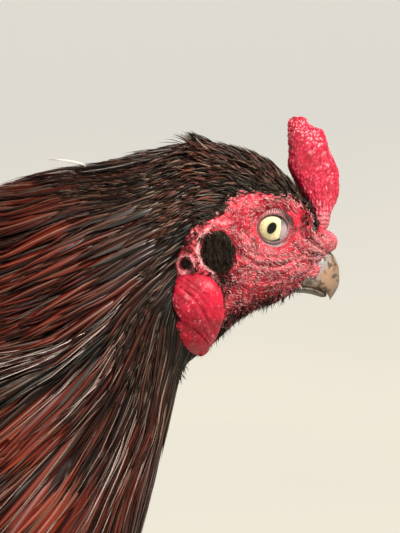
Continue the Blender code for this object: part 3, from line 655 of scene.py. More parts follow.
@dataclass(frozen=True)
class PlumeFinish(Finish):
    """Feather: flat barbs either side of a shaft, glossy along their length, so that it shines in streaks.

    It reads along (root to tip), across (-1 to 1), tone (one number for each feather) and dusk (how black the
    feather is) from the mesh.
    """

    tones: tuple[tuple[float, str], ...] = (
        (0.0, "#130402"), (0.45, "#48110a"), (0.80, "#6c2011"), (1.0, "#7c3320"),
    )
    edge: str = "#080403"
    edge_start: float = 0.60
    shaft: str = "#b99c80"
    shaft_share: float = 0.35
    dusk: str = "#080907"
    tip: str = "#44190f"
    worn: float = 0.4
    down: str = "#0a0504"
    barbs: tuple[float, float] = (-0.30, 1.0)
    gap: str = "#3c3c3c"
    relief: tuple[float, float] = (0.5, 0.0003)

    def pattern(self, tree: NodeTree) -> tuple[NodeSocket, NodeSocket]:
        """Colour and height of the web. Its barbs are 0.6 mm apart, coarser than real, so that they show.

        Args:
            tree: the material's nodes.

        Returns:
            The sockets of the two.
        """
        along, across, tone = (reading(tree, name) for name in ("along", "across", "tone"))
        away = add_node(tree, "ShaderNodeMath", {0: across}, operation="ABSOLUTE").outputs[0]
        aside, back = self.barbs
        slant = add_node(tree, "ShaderNodeMath", {0: away, 1: aside}, operation="MULTIPLY").outputs[0]
        slant = add_node(tree, "ShaderNodeMath", {0: along, 1: back, 2: slant}, operation="MULTIPLY_ADD")
        cell = add_node(tree, "ShaderNodeCombineXYZ", {0: slant.outputs[0], 1: tone, 2: 0.0}).outputs[0]
        barbs = add_node(
            tree, "ShaderNodeTexNoise", {"Vector": cell, "Scale": 34.0, "Detail": 2.0}
        ).outputs["Fac"]
        web = add_node(tree, "ShaderNodeValToRGB", {"Fac": tone}, self.tones).outputs["Color"]
        streak = add_node(tree, "ShaderNodeValToRGB", {"Fac": barbs}, ((0.38, self.gap), (0.60, "#ffffff")))
        web = mixed(tree, 1.0, web, streak.outputs["Color"], "MULTIPLY")
        web = mixed(tree, spread(tree, along, 0.05, 0.34, 1.0, 0.0), web, self.down)
        web = mixed(tree, spread(tree, along, 0.72, 1.0, 0.0, self.worn), web, self.tip)
        web = mixed(tree, spread(tree, away, self.edge_start, 0.92, 0.0, 0.92), web, self.edge)
        web = layered(tree, web, dusk=self.dusk)
        # Only some feathers show their shaft, each by a share of its own that its tone gives.
        lucky = add_node(tree, "ShaderNodeMath", {0: tone, 1: 7.3}, operation="MULTIPLY").outputs[0]
        lucky = add_node(tree, "ShaderNodeMath", {0: lucky}, operation="FRACT").outputs[0]
        quill = spread(tree, away, 0.05, 0.20, self.shaft_share, 0.0)
        lucky = add_node(tree, "ShaderNodeMath", {0: lucky, 1: quill}, operation="MULTIPLY").outputs[0]
        return mixed(tree, lucky, web, self.shaft), barbs


@dataclass(frozen=True)
class ScaleFinish(Finish):
    """Leg scutes: hard overlapping plates of yellowish horn, greyer in their seams, with a dry satin gloss.

    It reads seam, how near the edge of a plate a point is, from the mesh.
    """

    plate: str = "#b9a05e"
    seam: str = "#5b4c2e"
    flush: str = "#a8603c"
    relief: tuple[float, float] = (0.3, 0.0002)

    def pattern(self, tree: NodeTree) -> tuple[NodeSocket, NodeSocket]:
        """Colour and height: clouds 6 mm across, a red flush in some, dull seams and a fine grain.

        Args:
            tree: the material's nodes.

        Returns:
            The sockets of the two.
        """
        cloud = clouded(tree, 160.0, 4.0)
        stops = ((0.34, "#8e7a45"), (0.52, self.plate), (0.70, "#cdb877"))
        plate = add_node(tree, "ShaderNodeValToRGB", {"Fac": cloud}, stops).outputs["Color"]
        plate = mixed(tree, spread(tree, cloud, 0.58, 0.72, 0.0, 0.4), plate, self.flush)
        return layered(tree, plate, seam=self.seam), clouded(tree, 1500.0, 2.0)


@dataclass(frozen=True)
class StageFinish(Finish):
    """Studio sweep whose matt paint glows as a painted light: pale and slightly warm, greyer high up, darker
    near the bird as a painted shadow, and mottled very softly.
    """

    low: str = "#fbf4e3"
    high: str = "#dfddd7"
    # Painted shadow colour of the floor round the bird.
    near: str = "#8f8b83"
    paint: str = "#b0aca3"
    # Painted shade colour of the wall high up.
    gloom: str = "#1c1b1a"
    glow: float = 0.77

    def make(self) -> Material:
        """Builds the paint, which glows as a painted light: darker near the bird as a painted shadow, and dim
        above head height as painted shade, as in a room whose lamps point at the floor.

        Returns:
            The material.
        """
        made, inputs = self.start()
        tree = made.node_tree
        place = add_node(tree, "ShaderNodeTexCoord").outputs["Object"]
        split = add_node(tree, "ShaderNodeSeparateXYZ", {0: place}).outputs
        mottle = {0: clouded(tree, 0.7, 2.0), 1: 0.5, 2: split["Z"]}
        level = add_node(tree, "ShaderNodeMath", mottle, operation="MULTIPLY_ADD")
        share = spread(tree, level.outputs[0], 0.1, 1.5)
        away = add_node(tree, "ShaderNodeCombineXYZ", {0: split["X"], 1: split["Y"]}).outputs[0]
        away = add_node(tree, "ShaderNodeVectorMath", {0: away}, operation="LENGTH").outputs["Value"]
        tint = mixed(tree, spread(tree, away, 0.3, 2.0), self.near, mixed(tree, share, self.low, self.high))
        tint = mixed(tree, spread(tree, split["Z"], 2.8, 4.2), tint, self.gloom)
        inputs["Base Color"].default_value = linear(self.paint)
        # Painted light: the sweep gives off its colour as light, which also falls on the bird.
        tree.links.new(tint, inputs["Emission Color"])
        inputs["Emission Strength"].default_value = self.glow
        return made


@dataclass
class Trunk:
    """The bird's outline from beak to tail, which skin and plumage are laid on.

    A place is given by a station (0 at the brow, 9 behind the head, 14.2 at the shoulders, 22 at the rump and
    27 at the tail's end), an angle from the top line toward the left, and a height over the outline.
    """

    head_sections: Rows = (  # top x and z, low x and z from the eye, and half width
        (200, -75, 178, -112, 28), (195, -30, 142, -152, 74), (172, 30, 106, -190, 110),
        (128, 100, 66, -224, 146), (65, 168, 15, -252, 174), (-10, 222, -50, -277, 192),
        (-100, 266, -110, -315, 202), (-190, 293, -175, -370, 212), (-280, 293, -240, -425, 226),
        (-370, 278, -300, -478, 245),
    )
    body_sections: Rows = (  # top x and z, low x and z, and half width
        (1400, 5410, 1630, 4550, 280), (1160, 5360, 1570, 4320, 340), (920, 5240, 1500, 4080, 410),
        (680, 5000, 1430, 3840, 490), (460, 4680, 1360, 3580, 580), (260, 4340, 1270, 3300, 670),
        (50, 4030, 1130, 3010, 740), (-210, 3760, 900, 2700, 780), (-480, 3500, 580, 2430, 770),
        (-740, 3240, 180, 2230, 710), (-980, 2980, -280, 2150, 590), (-1180, 2740, -680, 2190, 430),
        (-1340, 2540, -1020, 2280, 270), (-1520, 2400, -1210, 2120, 260), (-1820, 2200, -1490, 1840, 270),
        (-2160, 1940, -1810, 1540, 260), (-2500, 1640, -2150, 1230, 220), (-2800, 1310, -2480, 950, 150),
    )

    def __post_init__(self) -> None:
        """Sets the table of sections in the bird's place."""
        head = np.array(self.head_sections) / TENTHS + np.array([EYE[0], EYE[2], EYE[0], EYE[2], 0])
        body = np.array(self.body_sections) / TENTHS + np.array([CENTRE_SHIFT, 0, CENTRE_SHIFT, 0, 0])
        self.rows = np.concatenate([head, body])

    def surface(self, station: Array, angle: Array, height: Array) -> Array:
        """Points of the outline, with the swells of the face.

        Args:
            station: places along the bird.
            angle: turns from the top line.
            height: heights over the outline.

        Returns:
            The points, with the coordinates last.
        """
        station, angle, height = np.broadcast_arrays(station, angle, height)
        top_x, top_z, low_x, low_z, half_width = np.moveaxis(rows_between(self.rows, station), -1, 0)
        run_x, run_z = top_x - low_x, top_z - low_z
        half_depth = np.hypot(run_x, run_z) / 2
        lift = (half_depth + height) * np.cos(angle) / (2 * half_depth)
        x = (top_x + low_x) / 2 + run_x * lift
        z = (top_z + low_z) / 2 + run_z * lift
        rise = self.relief(x - EYE[0], z - EYE[2]) * (1 - smoothstep(8.0, 9.5, station))
        return np.stack([x, (half_width + height + rise) * np.sin(angle), z], -1)

    @staticmethod
    def relief(x: Array, z: Array) -> Array:
        """The large swells of the face, at places measured from the eye: brow, orbit, cheek, ear and lips.

        Args:
            x: metres ahead of the eye.
            z: metres above it.

        Returns:
            The height of the swells in metres.
        """
        off_eye = np.hypot(x, z)
        upper = smoothstep(-0.004, 0.006, z + 0.25 * x)
        rise = 0.0022 * bump(off_eye - 0.0112, 0.0030) * upper
        rise += 0.0008 * bump(off_eye - 0.0100, 0.0024) * (1 - upper)
        rise -= 0.0034 * bump(off_eye, 0.0072)
        rise += 0.0012 * bump(np.hypot(x + 0.008, (z + 0.017) * 0.8), 0.0085)
        rise += 0.0016 * bump(np.hypot(x + 0.0186, z + 0.0079) - 0.0086, 0.0020)
        return rise + 0.0014 * bump(np.hypot(x - 0.0100, (z + 0.0150) * 2.2), 0.0050)

    def speed(self, station: Array, angle: Array) -> tuple[Array, Array]:
        """Metres of surface for one station, and for one radian.

        Args:
            station: places along the bird.
            angle: turns from the top line.

        Returns:
            The two measures of each place.
        """
        step = 0.02
        back, fore = (self.surface(station + s, angle, 0.0) for s in (-step, step))
        left, right = (self.surface(station, angle + s, 0.0) for s in (-step, step))
        along = np.linalg.norm(fore - back, axis=-1) / (2 * step)
        return np.maximum(along, 1e-4), np.maximum(np.linalg.norm(right - left, axis=-1) / (2 * step), 1e-4)

    def trail(self, station: Array, angle: Array, length: Array, count: int) -> Array:
        """Stations at even steps back along the lie of the coat.

        Args:
            station: where each trail starts.
            angle: its turn from the top line.
            length: its length in metres.
            count: places on each trail.

        Returns:
            The stations, as trail and place.
        """
        made = [station]
        for _ in range(count - 1):
            made.append(made[-1] + length / (count - 1) / self.speed(made[-1], angle)[0])
        return np.stack(made, -1)

    def core(self, station: Array) -> Array:
        """How far the skin lies under the outline: flush on the head, deep under the hackle."""
        neck = -0.0012 - (CAPE_DEPTH - 0.0012) * smoothstep(NECK_STATION, NECK_STATION + 1.7, station)
        torso = -CAPE_DEPTH * (1 - smoothstep(TORSO_STATION, TORSO_STATION + 2.6, station)) - 0.0030
        return np.where(station < TORSO_STATION, neck, torso) * smoothstep(7.6, 9.0, station)


BARE_FACE = (  # outline of the red face in millimetres from the eye, ahead and up
    (21.0, -2.0), (14.2, -1.0), (14.4, 3.0), (12.4, 8.6), (8.6, 10.9), (2.4, 12.5), (-4.8, 13.4),
    (-10.3, 13.2), (-15.0, 10.8), (-16.3, 6.9), (-20.0, 4.2), (-25.5, 1.6), (-28.4, -3.1), (-31.5, -10.0),
    (-32.0, -16.0), (-31.0, -24.0),
    (-24.0, -40.0), (-18.0, -36.2), (-10.4, -30.2), (0.0, -25.8), (10.4, -22.6), (22.0, -22.0),
)
BROW_FOLD = ((-8.8, 1.0), (-7.2, 6.0), (-2.8, 9.0), (3.5, 9.8), (10.0, 8.2), (13.6, 4.0), (13.8, -1.0))
EAR_ROLL = ((-28.6, -3.8), (-24.8, 0.8), (-20.7, 2.6), (-16.0, 1.4))
EAR_RIM = ((-21.4, -0.6), (-24.4, -3.6), (-25.0, -8.0), (-23.6, -12.0), (-19.4, -15.0))
CHEEK_FOLDS = (
    ((-9.5, -8.2), (-4.0, -10.8), (3.5, -11.0), (9.0, -8.6)),
    ((-11.5, -11.0), (-4.0, -14.0), (4.5, -13.8), (11.5, -10.2)),
    ((-7.0, -19.5), (1.0, -18.6), (9.5, -17.4)),
)
EAR_SPOT = (-18.3, -7.7)
EAR_PIT = (-29.0, -12.4)


@dataclass(frozen=True)
class Cere:
    """Swollen flesh between comb and beak, and the fleshy corners of the mouth."""

    lumps: Rows = (  # middle ahead, aside and up from the eye, half sizes, turn in degrees, and pleats
        (0.0178, 0.0, -0.0040, 0.0058, 0.0068, 0.0043, 16.0, 0.0),
        (0.0172, 0.0, 0.0020, 0.0062, 0.0050, 0.0030, -66.0, 0.6),
        (0.0128, 0.0060, -0.0138, 0.0050, 0.0026, 0.0032, 26.0, 0.0),
        (0.0128, -0.0060, -0.0138, 0.0050, 0.0026, 0.0032, -26.0, 0.0),
        (0.0054, 0.0068, -0.0194, 0.0050, 0.0024, 0.0017, 16.0, 0.0),
        (0.0054, -0.0068, -0.0194, 0.0050, 0.0024, 0.0017, -16.0, 0.0),
    )

    def lump(self, row: tuple[float, ...]) -> Shape:
        """One swelling.

        Args:
            row: its place and sizes.

        Returns:
            The swelling.
        """
        x, y, z, long, wide, high, turn, pleats = row
        tilt = np.linspace(0.03, math.pi - 0.03, 56)[:, None]
        angle = full_circle(72)[None, :]
        girth = np.sin(tilt)
        out = np.stack([np.cos(tilt) + 0 * angle, girth * np.cos(angle), girth * np.sin(angle)], -1)
        cos, sin = math.cos(math.radians(turn)), math.sin(math.radians(turn))
        upright = [[cos, 0, -sin], [0, 1, 0], [sin, 0, cos]]
        level = [[cos, -sin, 0], [sin, cos, 0], [0, 0, 1]]
        aim = out * np.array([long, wide, high]) @ np.array(upright if y == 0 else level)
        rings = aim + EYE + np.array([x, y, z])
        grain = pebbles(rings, 1.0 * MM, 3.0)
        wave = lattice_noise(rings, 2.2 * MM, 6.0)
        lines = np.sin(aim[..., 2] / MM * 4.2 + 1.6 * wave) * pleats
        rings = rings + unit(aim) * ((0.20 * grain + 0.34 * wave + 0.08 * lines - 0.18) * MM)[..., None]
        # Painted light: crest lightens the grains' tops and pale the pleats' tops as painted highlights; dark
        # is painted shade between grains and in the pleats' grooves.
        return tube(rings, {
            "bare": np.ones(grain.shape), "pale": np.clip(0.30 * (lines > 0.5), 0, 1),
            "dark": np.clip(0.35 * (1 - grain) + 0.35 * (lines < -0.4), 0, 0.7),
            "crest": np.clip(0.30 + 0.75 * grain**2 + 0.2 * wave, 0, 0.95),
        })


@dataclass
class Skin:
    """One skin over head, neck, body and thighs, with the bare face's folds; the tree finds places on it."""

    trunk: Trunk
    tree: BVHTree | None = None

    def face_relief(self, points: Array, station: Array, angle: Array) -> tuple[Array, dict[str, Array]]:
        """Fine height of the face and the values that its finish reads.

        Args:
            points: the skin's points.
            station: their stations.
            angle: their turns from the top line.

        Returns:
            The height in metres, and bare, pale, dark and crest.
        """
        view = side_view(points[..., 0], points[..., 2])
        aside = smoothstep(0.15, 0.5, np.abs(np.sin(angle)))
        ragged = 1.1 * lattice_noise(points, 2.2 * MM, 3.0)
        bare = smoothstep(-0.8, 0.9, depth_inside(view, BARE_FACE) + ragged)
        bare = np.maximum(bare * smoothstep(0.0, 0.3, np.abs(np.sin(angle)) + (station < 3.2)), station < 2.0)
        bare = np.maximum(bare, (np.cos(angle) < -0.90) * smoothstep(8.6, 7.2, station) * 0.9)
        off_eye = away(view, 1.4, 0.0)
        from_ear = np.hypot((view[..., 0] - EAR_SPOT[0]) * 1.16, view[..., 1] - EAR_SPOT[1])
        from_pit = away(view, *EAR_PIT)
        grains = pebbles(points, 0.95 * MM, 1.0)
        coarse = pebbles(points, 1.9 * MM, 2.0)
        worn = smoothstep(6.5, 8.5, off_eye) * smoothstep(5.0, 8.0, from_ear)
        height = bare * worn * (0.34 * grains + 0.17 * coarse)
        height = height + 0.16 * bare * lattice_noise(points, 1.3 * MM, 5.0)
        fold = np.zeros_like(height)
        for line in CHEEK_FOLDS:
            fold += 0.35 * bump(segment_distance(view, line), 0.7) - 0.40 * bump(
                segment_distance(view, line) - 1.2, 0.5
            )
        brow = segment_distance(view, BROW_FOLD)
        lumps = 1 + 0.5 * lattice_noise(points, 3.2 * MM, 11.0)
        fold += 1.25 * lumps * bump(brow, 1.9) - 0.60 * bump(brow - 3.0, 0.8) * (view[..., 1] < 8.0)
        orbit = bump(off_eye - 8.6, 1.6)
        fold += 0.14 * orbit * np.sin(FULL_TURN * off_eye / 1.25 + 1.2 * lattice_noise(points, 4 * MM, 8.0))
        hollow = bump(away(view, 11.4, 1.6, 0.6), 2.3)
        under = bump(away(view, -5.6, -7.2), 2.0)
        fold -= 1.5 * hollow + 0.9 * under
        # Pleats of the lores draw together toward the nostril.
        lores = bump(away(view, 15.4, -7.0, 0.7), 3.8)
        toward = np.arctan2(view[..., 1] + 11.0, view[..., 0] - 24.0)
        pleat = np.sin(toward * 19 + 1.2 * lattice_noise(points, 3 * MM, 4.0))
        fold += 0.55 * lores * pleat
        rim = segment_distance(view, EAR_RIM)
        roll = segment_distance(view, EAR_ROLL)
        fold += 0.90 * bump(rim, 0.65) - 0.9 * bump(rim - 1.4, 0.5) * (from_ear < 6.6)
        fold += 1.15 * bump(roll, 1.5)
        fold -= 1.2 * smoothstep(6.4, 4.8, from_ear)
        fold -= 1.3 * bump(from_ear - 8.6, 2.2) * smoothstep(-21.0, -17.0, view[..., 0])
        # Under the lids the skin sinks, so that it never shows through them.
        fold -= 1.2 * smoothstep(6.6, 5.8, off_eye)
        fold += 0.6 * bump(from_pit - 2.9, 0.8) - 2.2 * smoothstep(2.6, 1.4, from_pit)
        height = (height + fold * aside) * MM
        # Painted highlight: pale on the ridges of the lores' pleats and on the grains of the ear roll, and
        # less pale in the hollows; the rims of ear and pit are pale of their own.
        pale = 0.95 * bump(rim, 0.55) + 0.40 * lores * (pleat > 0.25) + 0.30 * bump(roll, 0.9) * grains
        pale = pale + 0.6 * bump(from_pit - 2.9, 0.7) - 0.6 * (hollow + under)
        # Painted shade: dark in the ear pit, in the grooves of the lores' pleats, in the hollows by the eye
        # and between the grains; the black ear and the lores are dark of their own.
        dark = smoothstep(6.0, 5.2, from_ear) + smoothstep(2.5, 1.8, from_pit)
        dark = dark + 0.45 * lores * (pleat < -0.1) + 0.40 * lores + 0.45 * hollow + 0.5 * under
        dark = dark + 0.34 * worn * (1 - grains) * smoothstep(-0.3, 0.5, lattice_noise(points, 4 * MM, 12.0))
        # Painted highlight on the tops of the grains.
        crest = 0.9 * grains**2 * smoothstep(-0.5, 0.5, lattice_noise(points, 3 * MM, 6.0))
        return height, {
            "bare": bare, "pale": np.clip(pale * aside, 0, 0.9), "dark": np.clip(dark * aside, 0, 1),
            "crest": np.clip(crest, 0, 0.9) * worn,
        }

    def trunk_shape(self) -> Shape:
        """The skin from the beak to the tail's root.

        Returns:
            The shape with its values.
        """
        stations = np.concatenate([
            np.linspace(0.0, 9.0, 150), np.linspace(9.15, 11.0, 12), np.linspace(11.3, 24.0, 48),
        ])
        angles = full_circle(256)
        station, angle = np.meshgrid(stations, angles, indexing="ij")
        base = self.trunk.surface(station, angle, 0.0)
        height, values = self.face_relief(base, station, angle)
        covered = -0.0016 * (1 - values["bare"]) * smoothstep(9.4, 8.6, station)
        stump = -0.006 * smoothstep(21.5, 24.0, station)
        near = smoothstep(9.4, 8.4, station)
        rings = self.trunk.surface(station, angle, self.trunk.core(station) + covered + stump + height * near)
        for key in values:
            values[key] = values[key] * near
        return tube(rings, values)

    def build(self, finish: Material, thighs: list[Shape]) -> Object:
        """Makes the skin and the surface that other pieces are set on.

        Args:
            finish: the skin's material.
            thighs: the sleeves of the thighs.

        Returns:
            The skin.
        """
        cere = Cere()
        shape = joined([self.trunk_shape(), *(cere.lump(row) for row in cere.lumps)])
        for sleeve in thighs:
            sleeve.values = {key: np.zeros(len(sleeve.points)) for key in shape.values}
        self.tree = BVHTree.FromPolygons(
            [Vector(p) for p in shape.points.tolist()], shape.quads.tolist() + shape.triangles.tolist()
        )
        made = joined([shape, *thighs]).build("skin", finish)
        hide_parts("head", "neck", "torso", "thigh_left", "thigh_right")
        return made

    def meet(self, view: Array, side: float) -> tuple[Array, Array, Array]:
        """Where the skin is at places of the side view.

        Args:
            view: millimetres ahead of the eye and above it.
            side: 1 for the left side of the head and -1 for the right.

        Returns:
            Which places lie on the skin, their points and their normals.
        """
        found, points, normals = [], [], []
        for x, z in view:
            start = Vector((EYE[0] + x * MM, side * 0.2, EYE[2] + z * MM))
            place, normal, _, _ = self.tree.ray_cast(start, Vector((0, -side, 0)))
            found.append(place is not None and place.y * side > 0)
            points.append(tuple(place) if place is not None else (0, 0, 0))
            normals.append(tuple(normal) if normal is not None else (0, side, 0))
        return np.array(found), np.array(points), np.array(normals)


@dataclass(frozen=True)
class Eyes:
    """Eyeballs with their lids, which run into the skin, and the third lid in the front corner."""

    skin: Skin
    radius: float = 0.0070
    middle_y: float = 0.0114
    cornea: float = 0.00045
    opening: tuple[float, ...] = (0.45, -0.1, 4.75, 4.3)  # middle ahead and up, half sizes, in millimetres
    margin: tuple[float, ...] = (1.5, 0.4, 6.9, 7.1)
    columns: int = 384
    lashes: int = 48
    under: tuple[tuple[float, float], ...] = ((0.75, 0.0112), (0.0, 0.0132))  # rings behind the lid

    def ball(self, side: float, word: str, finish: Material) -> Object:
        """One eyeball, with a bulging cornea.

        Args:
            side: 1 or -1.
            word: left or right.
            finish: the eye's material.

        Returns:
            The eyeball.
        """
        tilt = np.linspace(0.02, math.pi - 0.02, 44)[:, None]
        turn = full_circle(64)[None, :]
        reach = self.radius + self.cornea * smoothstep(0.75, 0.25, tilt)
        x, z = reach * np.sin(tilt) * np.cos(turn), reach * np.sin(tilt) * np.sin(turn)
        rings = from_eye(x, side * (self.middle_y + reach * np.cos(tilt)), z)
        front = np.where(tilt < math.pi / 2, 1.0, 9.0)
        made = tube(rings, {"iris_x": x / MM * front, "iris_z": z / MM * front})
        return made.build("eyeball_" + word, finish)

    def lids(self, side: float, word: str, finish: Material) -> Object:
        """The ring of lid round one eye, pleated across its rim.

        Args:
            side: 1 or -1.
            word: left or right.
            finish: the skin's material.

        Returns:
            The lids, with the third lid.
        """
        many = self.columns
        turns = full_circle(many)
        steps = np.linspace(0, 1, 26)
        ahead, up = np.cos(turns), np.sin(turns)
        opening, outer = (
            np.stack([x + wide * ahead, z + high * up], -1)
            for x, z, wide, high in (self.opening, self.margin)
        )
        _, ground, _ = self.skin.meet(outer, side)
        heights = np.convolve(np.tile(np.abs(ground[:, 1]), 3), np.ones(19) / 19, "same")[many : 2 * many]
        lashes = np.sin(turns * self.lashes + 2 * np.sin(turns * 5))
        over = smoothstep(-0.1, 0.7, up + 0.25 * ahead)
        rings = []
        for step in steps:
            flat = opening * (1 - step) + outer * step
            flare = np.hypot(flat[:, 0], flat[:, 1]) * MM
            ball = self.middle_y + np.sqrt(np.maximum(0.00725**2 - np.minimum(flare, 0.0069) ** 2, 1e-8))
            blend = smoothstep(0.05, 1.0, np.array(step))
            level = ball * (1 - blend) + (heights + 0.0001) * blend
            rim = 0.00070 * math.sin(math.pi * min(step * 2.4, 1.0)) * (1 + 0.5 * over)
            pleat = 0.00016 * lashes * bump(np.array(step - 0.42), 0.24)
            hood = 0.0010 * over * bump(np.array(step - 0.45), 0.28)
            hood = hood - 0.0009 * over * bump(np.array(step - 0.9), 0.1)
            drop = -0.0016 if step == 1.0 else 0.0
            y = level + rim + pleat + hood + drop
            rings.append(from_eye(flat[:, 0] * MM, side * y, flat[:, 1] * MM))
        for share, depth in self.under:
            flat = opening * (1 - share) + outer * share
            rings.append(from_eye(flat[:, 0] * MM, side * depth, flat[:, 1] * MM))
        rows = np.stack(rings)
        ids = np.arange(rows.shape[0] * many).reshape(-1, many)
        wrapped = np.concatenate([ids, ids[:1]])
        after = np.roll(wrapped, -1, axis=1)
        quads = np.stack([wrapped[:-1], after[:-1], after[1:], wrapped[1:]], -1).reshape(-1, 4)
        edge = np.concatenate([steps, [1.0, 0.0]])[:, None] + 0 * turns
        lash = smoothstep(-0.35, 0.35, lashes) * bump(edge - 0.45, 0.26)
        spot = np.stack([rows[..., 0], 0 * rows[..., 0], rows[..., 2]], -1)
        grain = pebbles(spot, 0.55 * MM, 13.0)
        corner = np.abs(np.mod(turns - 0.58 + math.pi, FULL_TURN) - math.pi)
        # Painted shadow: fold darkens the crease above the upper lid and the upper front corner under the
        # brow.
        fold = bump(edge - 0.98, 0.12) * over + 2.0 * bump(edge - 0.74, 0.36) * bump(corner, 0.44)
        red_corner = smoothstep(0.25, 0.8, ahead) * smoothstep(0.12, 0.42, edge)
        values = {
            "bare": np.ones(edge.shape),
            "pale": np.clip(lash * (0.20 + 0.70 * over), 0, 0.9),
            # Painted shade: dark also at the lid's inner edge, behind its front, and between the grains;
            # crest is a painted highlight on the grains' tops.
            "dark": np.clip(
                0.95 * bump(edge, 0.08) * smoothstep(1.0, 0.5, ahead) + 0.95 * fold + 0.45 * (1 - grain)
                + 0.34 * over * (1 - lash), 0, 0.95
            ),
            "crest": 0.4 * grain,
            "grey": (0.85 * smoothstep(0.98, 0.72, edge) * (0.55 + 0.45 * smoothstep(-0.9, -0.2, ahead))
                     * (1 - 0.8 * lash * over) * (1 - 0.5 * over * (1 - bump(corner, 0.7)))
                     * (1 - 0.9 * red_corner)),
        }
        flat_values = {key: value.ravel() for key, value in values.items()}
        ring = Shape(rows.reshape(-1, 3), quads, np.zeros((0, 3), int), flat_values)
        return joined([ring.turned_out(), self.third_lid(side)]).build("eyelids_" + word, finish)

    def third_lid(self, side: float) -> Shape:
        """The pale inner lid, a crescent held in the front corner of the eye.

        Args:
            side: 1 or -1.

        Returns:
            The crescent.
        """
        turns = np.linspace(-0.95, 0.95, 30)[:, None]
        steps = np.linspace(0, 1, 12)[None, :]
        near = np.minimum(3.0 / np.cos(turns + 0.10), 5.6)
        reach = near + (6.3 - near) * steps
        arc = np.arcsin(np.clip(reach * MM / 0.0073, 0, 0.99))
        rows = []
        for lift in (0.00018, -0.0003):
            radius = self.radius + 0.00022 + lift * np.sin(math.pi * np.clip(steps + 0.15, 0, 1))
            out = radius * np.sin(arc)
            y = self.middle_y + radius * np.cos(arc)
            rows.append(from_eye(out * np.cos(turns), side * y, out * np.sin(turns)))
        rings = np.concatenate([rows[0], rows[1][:, ::-1]], axis=1)
        same = np.ones(rings.shape[:2])
        return tube(rings, {
            "bare": same, "pale": 0.5 * same, "crest": 0 * same, "grey": 0.90 * same,
            # Painted shade: the third lid is darker toward its top, under the upper lid.
            "dark": 0.10 + 0.66 * smoothstep(-0.05, 0.60, turns) * same,
        })


@dataclass(frozen=True)
class Beak:
    """Upper and lower beak, each a hooked shell of horn."""

    upper: Rows = (  # ridge x and z, cutting edge x and z, from the eye, and half width
        (90, -40, 20, -180, 76), (165, -50, 100, -200, 74), (208, -78, 138, -205, 66),
        (233, -115, 166, -208, 56), (240, -158, 188, -218, 40), (236, -198, 202, -230, 22),
        (208, -245, 207, -245, 2),
    )
    lower: Rows = (
        (30, -186, 30, -221, 70), (95, -194, 95, -220, 62), (135, -198, 132, -223, 50),
        (160, -204, 157, -229, 36), (182, -212, 179, -235, 22), (196, -225, 195, -233, 3),
    )

    def half(self, name: str, rows: Rows, flat_top: bool, finish: Material) -> Object:
        """One half of the beak.

        Args:
            name: the piece's name.
            rows: its sections.
            flat_top: whether its broad side is the upper one.
            finish: the horn.

        Returns:
            The piece.
        """
        share = np.linspace(0, 1, 60) ** 0.8
        table = rows_between(np.array(rows) / TENTHS, share * (len(rows) - 1))
        angle = full_circle(64)
        rise = np.cos(angle)[None, :]
        broad = 0.76 + 0.24 * (rise if flat_top else -rise)
        wide = table[:, 4:5] * broad * np.sign(np.sin(angle)) * np.abs(np.sin(angle)) ** 0.8
        middle_x, middle_z = (table[:, 0] + table[:, 2]) / 2, (table[:, 1] + table[:, 3]) / 2
        half_x, half_z = (table[:, 0] - table[:, 2]) / 2, (table[:, 1] - table[:, 3]) / 2
        x = EYE[0] + middle_x[:, None] + half_x[:, None] * rise
        z = EYE[2] + middle_z[:, None] + half_z[:, None] * rise
        rings = np.stack([x, wide, z], -1)
        # Shallow growth ridges and chips keep the horn from looking moulded.
        rough = 0.00010 * lattice_noise(rings, 2.0 * MM, 2.0) + 0.00005 * lattice_noise(rings, 0.7 * MM, 3.0)
        rings[..., 1] += np.sign(wide) * rough * smoothstep(0.0, 0.002, np.abs(wide))
        rings[..., 0] += rough * 0.8
        along = share[:, None] + 0 * rise
        under = 0.7 * smoothstep(-0.2, -0.9, rise) + (0.75 if flat_top else 0.0) + 0 * along
        return tube(rings, {"along": along, "under": under}).build(name, finish)


